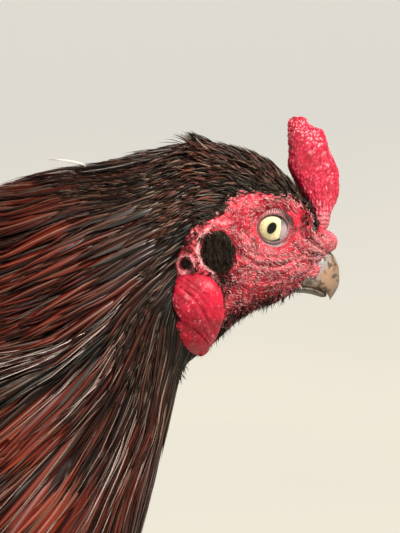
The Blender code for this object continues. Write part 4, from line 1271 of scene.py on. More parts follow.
@dataclass(frozen=True)
class Comb:
    """The upright comb: a thick pebbled blade with a lobe in front."""

    levels: Rows = (  # height and middle from the eye, half length and half thickness
        (4, 176, 18, 24), (36, 174, 27, 38), (69, 180, 37, 44), (120, 174, 64, 48), (170, 160, 77, 49),
        (215, 147, 83, 46), (270, 136, 71, 42), (310, 128, 66, 38), (338, 123, 60, 34),
        (354, 109, 46, 29), (372, 101, 35, 24), (386, 97, 20, 14), (391, 97, 3, 3),
    )

    def build(self, finish: Material) -> Object:
        """Makes the comb.

        Args:
            finish: comb flesh.

        Returns:
            The comb.
        """
        share = np.linspace(0, 1, 120)
        table = rows_between(np.array(self.levels) / TENTHS, share * (len(self.levels) - 1))
        angle = full_circle(128)[None, :]
        round_x = np.sign(np.cos(angle)) * np.abs(np.cos(angle)) ** 0.85
        x = EYE[0] + table[:, 1:2] + table[:, 2:3] * round_x
        y = table[:, 3:4] * np.sign(np.sin(angle)) * np.abs(np.sin(angle)) ** 0.8
        z = EYE[2] + table[:, 0:1] + 0 * angle
        rings = np.stack([x, y, z], -1)
        out = (np.cos(angle), 1.6 * np.sin(angle), 0.25 * share[:, None])
        out = unit(np.stack(np.broadcast_arrays(*out), -1))
        view = side_view(x, z)
        smooth = bump(away(view, 12.4, 24.0, 0.7), 2.4)
        lumps = pebbles(rings, 3.4 * MM, 4.0)
        grains = pebbles(rings * np.array([1, 1, 0.75]), 1.05 * MM, 6.0)
        fine = pebbles(rings, 0.62 * MM, 9.0)
        notch = bump(away(view, 14.0, 36.2), 1.6)
        keep = smoothstep(0.0, 0.0020, table[:, 3:4])
        low = smoothstep(14.0, 6.0, view[..., 1])
        streak = low * np.sin(view[..., 0] * 5.2 + 1.4 * lattice_noise(rings, 3 * MM, 2.0))
        height = (0.18 * lumps + (0.30 * grains + 0.13 * fine) * (1 - 0.7 * smooth) - 0.4 * smooth) * keep
        height = height - 1.0 * notch - 0.20 + 0.10 * streak + 0.25 * lattice_noise(rings, 6 * MM, 3.0) * keep
        rings = rings + out * (height * MM)[..., None]
        lean = 0.0008 * np.sin(view[..., 1] * 0.16)
        rings[..., 1] += lean
        glint = lattice_noise(rings, 1.5 * MM, 2.0)
        # Painted light: crest lightens the tops of the grains and pale puts glints on the fine ones, as
        # painted highlights; dark is painted shade in the grooves between grains and lumps and along the rear
        # edge. Pale also marks the raised streaks low down, and dark the smooth patch.
        values = {
            "crest": np.clip(0.80 * grains * (0.35 + 0.65 * fine) * (1 - 0.8 * smooth) + 0.12, 0, 1),
            "pale": (1 - smooth)
            * np.clip(fine**3 * smoothstep(0.1, 0.6, glint) + 0.35 * (streak > 0.5), 0, 0.8),
            "dark": np.clip(
                0.62 * (1 - grains) ** 2 + 0.30 * smooth + 0.40 * bump(view[..., 0] - 8.4, 1.4)
                + 0.18 * (1 - lumps), 0, 0.7
            ),
        }
        made = tube(rings, values).build("comb_flesh", finish)
        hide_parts("comb")
        return made


@dataclass
class EarLobes:
    """Red folded ear lobes: a broad upper leaf with diagonal pleats, over a small fold painted darker as the
    upper leaf's shadow.
    """

    trunk: Trunk
    leaf: Rows = (  # drop from the eye, middle along the head, half length, stand-off and half thickness
        (152, -262, 10, 0, 6), (160, -260, 44, 4, 14), (180, -256, 66, 14, 22), (212, -249, 80, 26, 27),
        (248, -249, 85, 34, 29), (300, -238, 75, 38, 27), (334, -228, 56, 38, 23),
        (374, -217, 30, 36, 15), (404, -208, 4, 34, 4),
    )
    fold: Rows = (
        (300, -300, 4, 0, 5), (320, -302, 24, 2, 12), (350, -292, 44, 6, 18), (385, -272, 52, 12, 20),
        (412, -252, 42, 12, 17), (430, -240, 18, 8, 10), (436, -238, 3, 6, 4),
    )

    def __post_init__(self) -> None:
        """Lays a fine grid over the side of the outline that the lobes hang on."""
        station, angle = np.meshgrid(np.linspace(4, 10.5, 240), np.linspace(0.3, 2.9, 200), indexing="ij")
        self.side = self.trunk.surface(station, angle, 0.0).reshape(-1, 3)

    def head_side(self, x: Array, z: Array) -> Array:
        """Half width of the head at places of the side view, in world coordinates."""
        spots = np.stack([x.ravel(), z.ravel()], -1)
        widths = [self.side[np.argmin(((self.side[:, (0, 2)] - spot) ** 2).sum(-1)), 1] for spot in spots]
        return np.array(widths).reshape(x.shape)

    def one_leaf(self, rows: Rows, side: float, lower: bool) -> Shape:
        """One leaf of a lobe.

        Args:
            rows: its levels.
            side: 1 or -1.
            lower: whether it is the fold below, painted darker as the upper leaf's shadow.

        Returns:
            The leaf.
        """
        share = np.linspace(0, 1, 80)
        table = rows_between(np.array(rows) / TENTHS, share * (len(rows) - 1))
        angle = full_circle(96)[None, :]
        x = EYE[0] + table[:, 1:2] + table[:, 2:3] * np.cos(angle)
        z = EYE[2] - table[:, 0:1] + 0 * angle
        base = self.head_side(EYE[0] + table[:, 1], EYE[2] - table[:, 0])
        base = np.polyval(np.polyfit(share, base, 4), share)[:, None]
        view = side_view(x, z)
        outer = np.maximum(np.sin(angle), 0)
        slant = 0.6 * ((view[..., 0] + 25) * 0.80 + (view[..., 1] + 28) * 0.60)
        slant = slant + 0.5 * (away(view, -37, -38) - 15.5)
        spots = np.stack([x, 0 * x, z], -1)
        wander = 1.5 * lattice_noise(spots, 7 * MM, 3.0) + 0.4 * lattice_noise(spots, 2.5 * MM, 4.0)
        creases = np.zeros_like(slant)
        for place, depth, part in ((-1.5, 1.00, 0.0), (1.6, 0.75, 9.0), (3.9, 0.55, 17.0), (5.8, 0.45, 26.0)):
            reach = np.clip(0.55 + 1.3 * lattice_noise(spots, 5 * MM, part), 0, 1)
            creases += depth * reach * bump(slant + wander - place, 0.36)
        grain = pebbles(spots, 0.8 * MM, 7.0)
        speck = smoothstep(-0.2, 0.5, lattice_noise(spots, 1.3 * MM, 5.0))
        rough = 0.35 + 0.65 * smoothstep(2.0, -3.0, slant)
        swell = 0.55 * lattice_noise(spots, 4 * MM, 21.0)
        fine = 0.06 * lattice_noise(spots, 0.8 * MM, 2.0)
        relief = outer * ((0.30 * grain * rough + fine) + swell - creases)
        y = base + table[:, 3:4] + table[:, 4:5] * np.sin(angle) + relief * MM
        tight = np.clip(creases, 0, 1)
        # Painted light: crest and pale are painted highlights on the grains, the specks and a band between
        # the first creases, and dark is painted shade in the creases; the lower fold has less highlight and a
        # painted shadow.
        values = {
            "crest": np.clip(0.60 * grain * rough + 0.04, 0, 0.8) * (0.4 if lower else 1.0),
            "pale": (0.3 if lower else 1.0)
            * np.clip((0.30 * bump(slant + wander - 0.3, 0.30) + 0.9 * rough * grain**5) * speck, 0, 0.8),
            "dark": np.clip(0.60 * tight + (0.55 * (1 - rough * 0.5) if lower else 0.0), 0, 0.9),
        }
        return tube(np.stack([x, side * y, z], -1), values)

    def build(self, finish: Material) -> list[Object]:
        """Makes both lobes.

        Args:
            finish: lobe flesh.

        Returns:
            The lobes.
        """
        made = []
        for side, word in SIDES:
            shapes = [self.one_leaf(self.leaf, side, False), self.one_leaf(self.fold, side, True)]
            piece = joined(shapes).build("ear_lobe_" + word, finish)
            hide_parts("earlobe_" + word)
            made.append(piece)
        return made


@dataclass
class Strokes:
    """How feathers on given paths look: how wide each is and how it is marked."""

    half_width: Array
    profile: tuple[float, ...]
    tone: Array
    dusk: Array
    roll: Array
    patch: Array
    ridge: float = 0.16
    columns: int = 3


def shingled(surface: Field, along: Array, around: Array, height: Array, looks: Strokes) -> Shape:
    """Thin closed vanes laid over a surface, each with a raised shaft.

    Args:
        surface: gives a point for places along, around and over it.
        along: places along the surface, as feather and place.
        around: places around it.
        height: heights over it.
        looks: widths and markings.

    Returns:
        All the feathers as one shape.
    """
    centre = surface(along, around, height)
    over = surface(along, around, height + 0.0004)
    return vanes(centre, unit(np.gradient(centre, axis=1)), over - centre, looks)


def vanes(centre: Array, tangent: Array, up: Array, lie: Strokes) -> Shape:
    """Closed vanes on paths, each domed across its width, with a raised shaft and a point at the end.

    Args:
        centre: points of each path, as feather, place and coordinate, the last of them the tip.
        tangent: directions of the paths.
        up: directions away from what carries the feathers.
        lie: widths and markings.

    Returns:
        The vanes as one shape.
    """
    up = unit(up - tangent * (up * tangent).sum(-1, keepdims=True))
    side = np.cross(tangent, up)
    roll = lie.roll[:, None, None]
    side, up = side * np.cos(roll) + up * np.sin(roll), up * np.cos(roll) - side * np.sin(roll)
    half = (lie.half_width[:, None] * np.array(lie.profile)[None, :])[:, :, None, None]
    wide = lie.columns
    place = np.linspace(-1, 1, wide)
    dome = (1 - place**2) * lie.ridge * 2 * (1 + 0.35 * (np.abs(place) < 0.1))
    ring = side[:, :-1, None] * (half * place[:, None]) + up[:, :-1, None] * (half * dome[:, None])
    ring = centre[:, :-1, None] + ring
    count, rings = ring.shape[:2]
    own = np.concatenate([ring.reshape(count, -1, 3), centre[:, -1:]], 1)
    size = rings * wide + 1
    k = (np.arange(rings - 1) * wide)[:, None]
    strips = [k + np.array([j, j + 1, j + 1 + wide, j + wide]) for j in range(wide - 1)]
    strip = np.concatenate([*strips, k + np.array([wide - 1, 0, wide, 2 * wide - 1])])
    end, tip = (rings - 1) * wide, rings * wide
    caps = [[0, j + 1, j] for j in range(1, wide - 1)]
    caps += [[end + j, end + j + 1, tip] for j in range(wide - 1)] + [[tip - 1, end, tip]]
    offset = (np.arange(count) * size)[:, None, None]
    share = np.append(np.repeat(np.linspace(0, rings / (rings + 0.6), rings), wide), 1.0)
    across = np.append(np.tile(place, rings), 0.0)
    spread = np.stack([share - 0.5, across * 0.5], -1) * 0.003
    kinds = np.zeros(wide, int)
    kinds[0], kinds[-1] = 1, 2
    return Shape(
        own.reshape(-1, 3),
        (strip[None] + offset).reshape(-1, 4),
        (np.array(caps)[None] + offset).reshape(-1, 3),
        {
            "along": np.tile(share, count), "across": np.tile(across, count),
            "tone": np.repeat(lie.tone, size), "dusk": np.repeat(lie.dusk, size),
        },
        (lie.patch[:, None, :] + spread[None]).reshape(-1, 2),
        np.tile(np.append(np.tile(kinds, rings), 0), count),
    )


# Half widths of a feather from its root to just before its tip, as shares of the widest.
LANCE = (0.35, 0.80, 1.0, 0.92, 0.66, 0.34)
ROUNDED = (0.55, 0.95, 1.0, 0.88, 0.52)
BLADE = (0.35, 0.62, 0.82, 0.95, 1.0, 1.0, 0.98, 0.95, 0.90, 0.80, 0.62, 0.36)
BRISTLE = (1.0, 0.75, 0.45)

# Where the side of the neck parts, the feathers along a line from behind the ear to the shoulder are painted
# black as the parting's shade; pale strands along a line above it are a painted highlight.
PARTING_SHADE = ((-34.0, -20.0), (-48.0, -29.0), (-60.0, -38.0), (-72.0, -46.0), (-93.0, -53.0), (-120.0, -60.0))
HIGHLIGHT_LINE = ((-43.0, -22.0), (-56.6, -30.7), (-65.6, -36.2), (-73.0, -40.0), (-82.0, -41.7), (-93.0, -42.4))

# How steeply the hackle runs down and back at places of the side view, in degrees below the level.
FAN_MOST = 0.95
FAN = (
    (-31, 10, 25), (-59, 10, 10), (-93, 10, 2), (-41, -4, 27), (-59, -2, 22), (-76, -6, 19), (-93, -7, 10),
    (-41, -13, 36), (-59, -21, 24), (-76, -24, 20), (-93, -26, 12), (-43, -22, 40), (-59, -33, 33),
    (-76, -40, 16), (-93, -43, 9), (-41, -29, 62), (-49, -42, 60), (-59, -49, 47), (-76, -59, 38),
    (-93, -69, 35), (-36, -33, 80), (-40, -49, 76), (-45, -66, 68), (-55, -80, 60), (-72, -93, 48),
    (-93, -104, 40), (-34, -59, 85), (-41, -93, 76),
)


def fanned(fore: Array, side: Array, spots: Array) -> tuple[Array, Array]:
    """Turns the lie of the hackle the way that it fans out behind the ear.

    Args:
        fore: for each place, metres for one station back along the bird.
        side: metres for one radian round it.
        spots: the places.

    Returns:
        Shares of a station and of a radian to go, on the turned way.
    """
    view = (spots[:, (0, 2)] - EYE[[0, 2]]) / MM
    table = np.array(FAN, float)
    near = 1 / (((view[:, None] - table[None, :, :2]) ** 2).sum(-1) + 9.0) ** 2
    wanted = np.radians((near * table[None, :, 2]).sum(1) / near.sum(1))
    f, t = fore[:, (0, 2)], side[:, (0, 2)]
    own = np.arctan2(-f[:, 1], -f[:, 0])
    inside = smoothstep(-20.0, -30.0, view[:, 0]) * smoothstep(-140.0, -100.0, view[:, 0])
    inside = inside * smoothstep(-150.0, -110.0, view[:, 1])
    turn = np.clip(wanted - own, -FAN_MOST, FAN_MOST) * inside
    crossed = f[:, 0] * t[:, 1] - f[:, 1] * t[:, 0]
    level = np.abs(crossed) / np.maximum(np.linalg.norm(fore, axis=1) * np.linalg.norm(side, axis=1), 1e-9)
    crossed = np.where(crossed < 0, -1, 1) * np.maximum(np.abs(crossed), 1e-5)
    size = (f**2).sum(1)
    aside = np.sin(turn) * size / crossed * smoothstep(0.15, 0.55, level)
    return np.maximum(np.cos(turn) - aside * (f * t).sum(1) / np.maximum(size, 1e-9), 0.3), aside


@dataclass
class Group:
    """Feathers of one kind: where they grow, their sizes, and how far they rise over the outline."""

    root: Array
    turn: Array
    length: Array
    half_width: Array
    low: Array
    high: Array
    tone: Array
    dusk: Array
    profile: tuple[float, ...] = LANCE
    drift: float = 0.004
    roll: float = 0.25
    droop: float = 0.6
    columns: int = 3
    ridge: float = 0.16
    wander: float = 0.0
    fan: bool = False

    def chosen(self, keep: Array) -> "Group":
        """The same kind of feathers, only those that a mask keeps."""
        rows = {name: value[keep] for name, value in vars(self).items() if isinstance(value, np.ndarray)}
        return replace(self, **rows)


@dataclass
class Plumage:
    """Feathers laid on a surface in overlapping order, the lie running back and down the bird."""

    trunk: Trunk
    seed: int = 7
    step: float = 0.02

    def __post_init__(self) -> None:
        """Starts the fixed series of random numbers."""
        self.draw = np.random.default_rng(self.seed)

    def between(self, low: float, high: float, count: int) -> Array:
        """Random numbers in a range."""
        return self.draw.uniform(low, high, count)

    def roots(self, low: float, high: float, count: int) -> tuple[Array, Array]:
        """Random roots, as dense on every part of the trunk.

        Args:
            low: first station.
            high: last station.
            count: how many.

        Returns:
            Their stations and turns.
        """
        station, turn = self.between(low, high, count * 4), self.between(-math.pi, math.pi, count * 4)
        along, around = self.trunk.speed(station, turn)
        keep = self.draw.random(count * 4) < along * around / np.quantile(along * around, 0.98)
        return station[keep][:count], turn[keep][:count]

    def lay(self, group: Group, surface: Field) -> Shape:
        """Lays one group.

        Args:
            group: the feathers.
            surface: gives a point for places along, around and over what carries them.

        Returns:
            The feathers as one shape.
        """
        count, nudge = len(group.profile) + 1, self.step
        share = np.linspace(0, 1, count)[None, :]
        places, turns = [group.root], [group.turn]
        for _ in range(count - 1):
            here, there = places[-1], turns[-1]
            fore = (surface(here + nudge, there, 0.0) - surface(here - nudge, there, 0.0)) / (2 * nudge)
            side = (surface(here, there + nudge, 0.0) - surface(here, there - nudge, 0.0)) / (2 * nudge)
            ahead, aside = 1.0 + 0 * here, 0.0 * here
            if group.fan:
                ahead, aside = fanned(fore, side, surface(here, there, 0.0))
            run = np.linalg.norm(fore * ahead[:, None] + side * aside[:, None], axis=-1)
            step = group.length / (count - 1) / np.maximum(run, 2e-3)
            places.append(here + ahead * step)
            turns.append(there + aside * step)
        along, turn = np.stack(places, -1), np.stack(turns, -1)
        aside = surface(along, turn + nudge, 0.0) - surface(along, turn - nudge, 0.0)
        pace = np.maximum(np.linalg.norm(aside, axis=-1) / (2 * nudge), 0.008)
        many = len(group.root)
        drift = group.drift * self.between(-1, 1, many)[:, None]
        # Neighbours stray the same way, so that the feathers part into locks.
        locks = lattice_noise(surface(group.root, group.turn, 0.0), 0.014, 9.0)
        drift = drift + group.wander * locks[:, None]
        around = turn + drift * share**2 / pace
        height = group.low[:, None] + (group.high - group.low)[:, None] * share**group.droop
        looks = Strokes(
            group.half_width, group.profile, group.tone, group.dusk, group.roll * self.between(-1, 1, many),
            self.patch(group.root, group.turn), group.ridge, group.columns,
        )
        return shingled(surface, along, around, height, looks)

    @staticmethod
    def patch(root: Array, turn: Array) -> Array:
        """Places on an unwrap of the skin, by station and turn."""
        return np.stack([0.02 + 0.96 * root / 28, 0.02 + 0.96 * np.mod(turn / FULL_TURN, 1)], -1)

    def view(self, station: Array, turn: Array) -> Array:
        """Places of the side view, in millimetres from the eye."""
        points = self.trunk.surface(station, turn, 0.0)
        return side_view(points[..., 0], points[..., 2])

    def crown(self) -> Shape:
        """Short close feathers of the crown and nape, and the small black ones behind the jaw.

        Returns:
            The feathers as one shape.
        """
        root, turn = self.roots(0.5, 10.2, 11000)
        view = self.view(root, turn)
        ragged = 1.1 * lattice_noise(self.trunk.surface(root, turn, 0.0), 2.2 * MM, 3.0)
        outside = depth_inside(view, BARE_FACE) + ragged < 0.2
        throat = (np.cos(turn) < -0.80) & (root < 8.8)
        comb = (np.abs(self.trunk.surface(root, turn, 0.0)[:, 1]) < 4.2 * MM) & (view[:, 0] > 6.0)
        keep = (outside | (np.abs(np.sin(turn)) < 0.2)) & ~comb & (root > 1.6)
        keep &= ~throat | (self.draw.random(len(root)) < 0.30)
        root, turn, view = root[keep], turn[keep], view[keep]
        many = len(root)
        grown = smoothstep(1.5, 8.5, root)
        tuft = bump(away(view, -22, 29, 0.6), 6.0) * (self.draw.random(many) < 0.25)
        full = 0.0017 * bump(view[:, 0] - 4.0, 10.0) * smoothstep(1.2, 0.4, np.abs(turn))
        border = np.abs(depth_inside(view, BARE_FACE))
        under = smoothstep(-0.1, -0.6, np.cos(turn)) + smoothstep(3.0, 1.0, border)
        return self.lay(Group(
            root, turn, (0.0034 + 0.0095 * grown) * self.between(0.75, 1.25, many) * (1 - 0.45 * tuft),
            (0.00032 + 0.00042 * grown) * self.between(0.7, 1.3, many),
            -0.0018 + full, 0.0002 + 0.0009 * self.draw.random(many) + 0.0042 * tuft + full
            + 0.0014 * smoothstep(1.0, 0.3, np.abs(turn)) * smoothstep(8.0, 9.4, root),
            self.between(0, 1, many), np.clip(0.25 + 0.5 * under + 0.3 * self.between(-1, 1, many), 0, 1),
            LANCE[1:5], 0.0030, 0.5, 0.8, fan=True,
        ), self.trunk.surface)

    @staticmethod
    def hem(turn: Array) -> Array:
        """Station at which the hackle ends."""
        away = np.abs(turn)
        return 17.3 - 2.5 * smoothstep(0.55, 1.25, away) + 0.9 * smoothstep(1.95, 2.5, away)

    def hackle(self, count: int, first: float, last: float, over: bool) -> Group:
        """Long pointed feathers of the neck.

        Args:
            count: how many.
            first: first station of their roots.
            last: last station of their roots.
            over: whether they are the glossy top ones rather than the ones beneath, which are painted dark as
                shade.

        Returns:
            The group.
        """
        root, turn = self.roots(first, last, count)
        many = len(root)
        share = np.clip((root - 8.6) / 5.4, 0, 1)
        length = 0.020 + 0.062 * np.sin(np.minimum(share * 1.4, 1) * math.pi / 2)
        length = length * self.between(0.85, 1.15, many)
        along = self.trunk.speed((root + self.hem(turn)) / 2, turn)[0]
        room = (self.hem(turn) + self.between(-0.25, 0.2, many) - root) * along
        length = np.minimum(length, np.maximum(room, 0.014))
        half = (0.0011 + 0.0019 * share) * self.between(0.7, 1.3, many) * (1.25 if over else 1.2)
        spots = self.trunk.surface(root, turn, 0.0)
        clump = np.clip(1.5 * lattice_noise(spots, 0.012, 6.0), -1, 1)
        low = self.trunk.core(root) - 0.0006
        top = smoothstep(1.0, 0.2, np.abs(turn)) * bump(root - 10.6, 1.8)
        high = 0.0002 + 0.0012 * self.draw.random(many) + 0.0016 * top
        if over:
            high = high + 0.0008 + 0.0012 * clump
        view = self.view(root + 0.6, turn)
        # Painted shade: feathers near the parting are made black.
        seam = bump(segment_distance(view, PARTING_SHADE), 4.4) * self.between(0.7, 1.1, many)
        below = smoothstep(-36.0, -50.0, view[:, 1]) * smoothstep(-44.0, -56.0, view[:, 0])
        deep = 0.30 * smoothstep(-66.0, -90.0, view[:, 1])
        front = smoothstep(2.25, 2.65, np.abs(turn) + deep + 0.12 * self.between(-1, 1, many))
        behind_ear = bump(away(view, -34, -14), 9)
        collar = np.maximum(smoothstep(9.9, 9.0, root), behind_ear) * 0.85
        back = smoothstep(1.1, 0.3, np.abs(turn)) * 0.5
        odd = (self.draw.random(many) < 0.06) * 0.8
        tone = 0.48 + 0.34 * clump + 0.28 * self.between(-1, 1, many)
        tone = tone + 0.10 * smoothstep(0.8, 1.8, np.abs(turn)) + 0.15 * below
        dusk = np.maximum.reduce([seam, front * (0.62 + deep), collar, back, odd])
        throat = smoothstep(-62.0, -48.0, view[:, 0]) * smoothstep(-20.0, -32.0, view[:, 1])
        half, tone = half * (1 - 0.45 * np.maximum(front, throat)), tone - 0.12 * throat
        # Painted shade: the feathers beneath are darkened, so that the gaps between the top ones read as
        # shadow.
        if not over:
            tone, dusk = tone * 0.4, np.maximum(dusk, 0.5)
        return Group(
            root, turn, length, half, low, high, np.clip(tone, 0.01, 0.86), np.clip(dusk, 0, 1), drift=0.003,
            wander=0.008, fan=True, roll=0.55 if over else 0.3, ridge=0.28 if over else 0.16,
            columns=5 if over else 3,
        )

    def glint_wisps(self) -> Group:
        """Loose edges of barbs that stray over the hackle, coloured pale as painted highlights where they
        catch the light.

        Returns:
            The group.
        """
        made = self.hackle(4600, 9.2, 13.8, True)
        view = self.view(made.root, made.turn)
        front = smoothstep(-58.0, -47.0, view[:, 0]) * smoothstep(-22.0, -32.0, view[:, 1])
        share = np.maximum(0.04 + 0.20 * front, 0.90 * bump(segment_distance(view, HIGHLIGHT_LINE), 1.8))
        made = made.chosen(self.draw.random(len(share)) < share)
        many = len(made.root)
        line = bump(segment_distance(self.view(made.root, made.turn), HIGHLIGHT_LINE), 2.2)
        made.length *= self.between(0.4, 0.95, many)
        made.half_width = 0.00018 * self.between(0.5, 1.3, many) * (1 + 0.4 * line)
        made.low = made.low * 0.15
        made.high = made.high + 0.0006
        made.profile, made.drift, made.roll, made.columns = LANCE[1:], 0.0015, 1.0, 3
        made.dusk = made.dusk * 0.2
        # Painted highlight: strands on the highlight line are the palest.
        made.tone = np.maximum(made.tone, line)
        # One loose pale feather stands up from the top of the neck.
        stations = np.linspace(9.0, 14.0, 100)
        loose = {
            "root": np.interp(61.0, -self.view(stations, 0 * stations)[:, 0], stations), "turn": -0.10,
            "length": 0.014, "half_width": 0.0012, "low": -0.0004, "high": 0.0066, "tone": 0.97, "dusk": 0.15,
        }
        for name, value in loose.items():
            setattr(made, name, np.append(getattr(made, name), value))
        return made

    def strands(self) -> Group:
        """Single barbs and narrow feathers that break up the sheen of the broad ones.

        Returns:
            The group.
        """
        made = self.hackle(3000, 8.7, 14.2, True)
        below = smoothstep(-30.0, -52.0, self.view(made.root, made.turn)[:, 1])
        made = made.chosen(self.draw.random(len(below)) > 0.88 * below)
        many = len(made.root)
        made.length *= self.between(0.4, 0.9, many)
        made.half_width = 0.00034 * self.between(0.5, 1.5, many)
        made.low = made.low * 0.3
        made.high = made.high + 0.0004
        made.tone = np.clip(made.tone + 0.22 * self.between(-1, 1, many), 0.01, 0.99)
        made.profile, made.drift, made.roll, made.columns = LANCE[1:], 0.0022, 1.0, 3
        return made

    def lances(self) -> Group:
        """Broad flat feathers of the lower neck, some of which lie clear of the rest.

        Returns:
            The group.
        """
        made = self.hackle(900, 11.2, 14.5, True)
        made.ridge, made.roll = 0.13, 0.30
        made.half_width = made.half_width * 1.12
        made.high = made.high + 0.0024 * self.draw.random(len(made.root)) ** 4
        return made

    def body(self, count: int, first: float, last: float) -> Group:
        """Rounded close feathers of breast, back and belly.

        Args:
            count: how many.
            first: first station of their roots.
            last: last station of their roots.

        Returns:
            The group.
        """
        root, turn = self.roots(first, last, count)
        many = len(root)
        shrink = 1 - 0.25 * smoothstep(19.0, 22.0, root)
        return Group(
            root, turn, 0.030 * shrink * self.between(0.85, 1.15, many),
            0.0042 * shrink * self.between(0.85, 1.15, many), self.trunk.core(root) - 0.0004,
            0.0001 + 0.0010 * self.draw.random(many), self.between(0, 1, many),
            np.clip(0.4 + 0.3 * self.between(-1, 1, many), 0, 1), ROUNDED, 0.003, 0.12, 0.7, ridge=0.10,
        )

    def saddle(self) -> Group:
        """Long narrow feathers that hang from the back over the rump.

        Returns:
            The group.
        """
        many = 1600
        turn = self.between(-0.85, 0.85, many)
        root = 15.8 + 5.8 * self.draw.random(many)
        return Group(
            root, turn, (0.052 + 0.016 * self.draw.random(many)) * (1 - 0.25 * smoothstep(20.5, 21.8, root)),
            0.0021 * self.between(0.8, 1.2, many), np.full(many, -0.003),
            0.0028 + 0.0018 * self.draw.random(many) - 0.0016 * np.abs(turn),
            np.clip(0.5 + 0.4 * self.between(-1, 1, many), 0, 1), (self.draw.random(many) < 0.12) * 0.8,
            LANCE, 0.010, 0.35, 0.75,
        )

    def tail(self) -> Shape:
        """Quills as a drooping tent, sickles over them, and coverts at their root.

        Returns:
            The tail's feathers.
        """
        rows = []
        for side, _ in SIDES:
            for i in range(7):
                turn = side * math.radians(9 + 17 * i)
                rows.append((22.35, turn, 0.158 - 0.0055 * i, 0.0098, -0.0075, -0.0040))
            for i in range(4):
                turn = side * math.radians(8 + 17 * i)
                rows.append((22.3, turn, 0.172 - 0.022 * i, 0.0064, -0.0040, 0.0058))
        table = np.array(rows)
        many = len(table)
        large = Group(
            *(table[:, k] for k in range(6)), tone=self.between(0, 1, many), dusk=np.full(many, 0.25),
            profile=BLADE, drift=0.003, roll=0.16, droop=1.0, columns=7, ridge=0.07,
        )
        count = 190
        turn = self.between(-2.5, 2.5, count)
        small = Group(
            self.between(20.9, 22.6, count), turn, 0.040 + 0.022 * self.draw.random(count),
            np.full(count, 0.0042), np.full(count, -0.0060), 0.0030 + 0.0030 * self.draw.random(count),
            self.between(0, 1, count), np.full(count, 0.3), LANCE, 0.006, 0.25, 0.8,
        )
        return joined([self.lay(group, self.trunk.surface) for group in (large, small)])


@dataclass(frozen=True)
class WingTier:
    """One tier of wing feathers: where it starts, how it spreads, and its feathers' sizes."""

    count: int
    start: float
    spread: float
    length: float
    half_width: float
    base: float
    fan: float
    sweep: float
    sink: float
    dusk: float
    tone: float


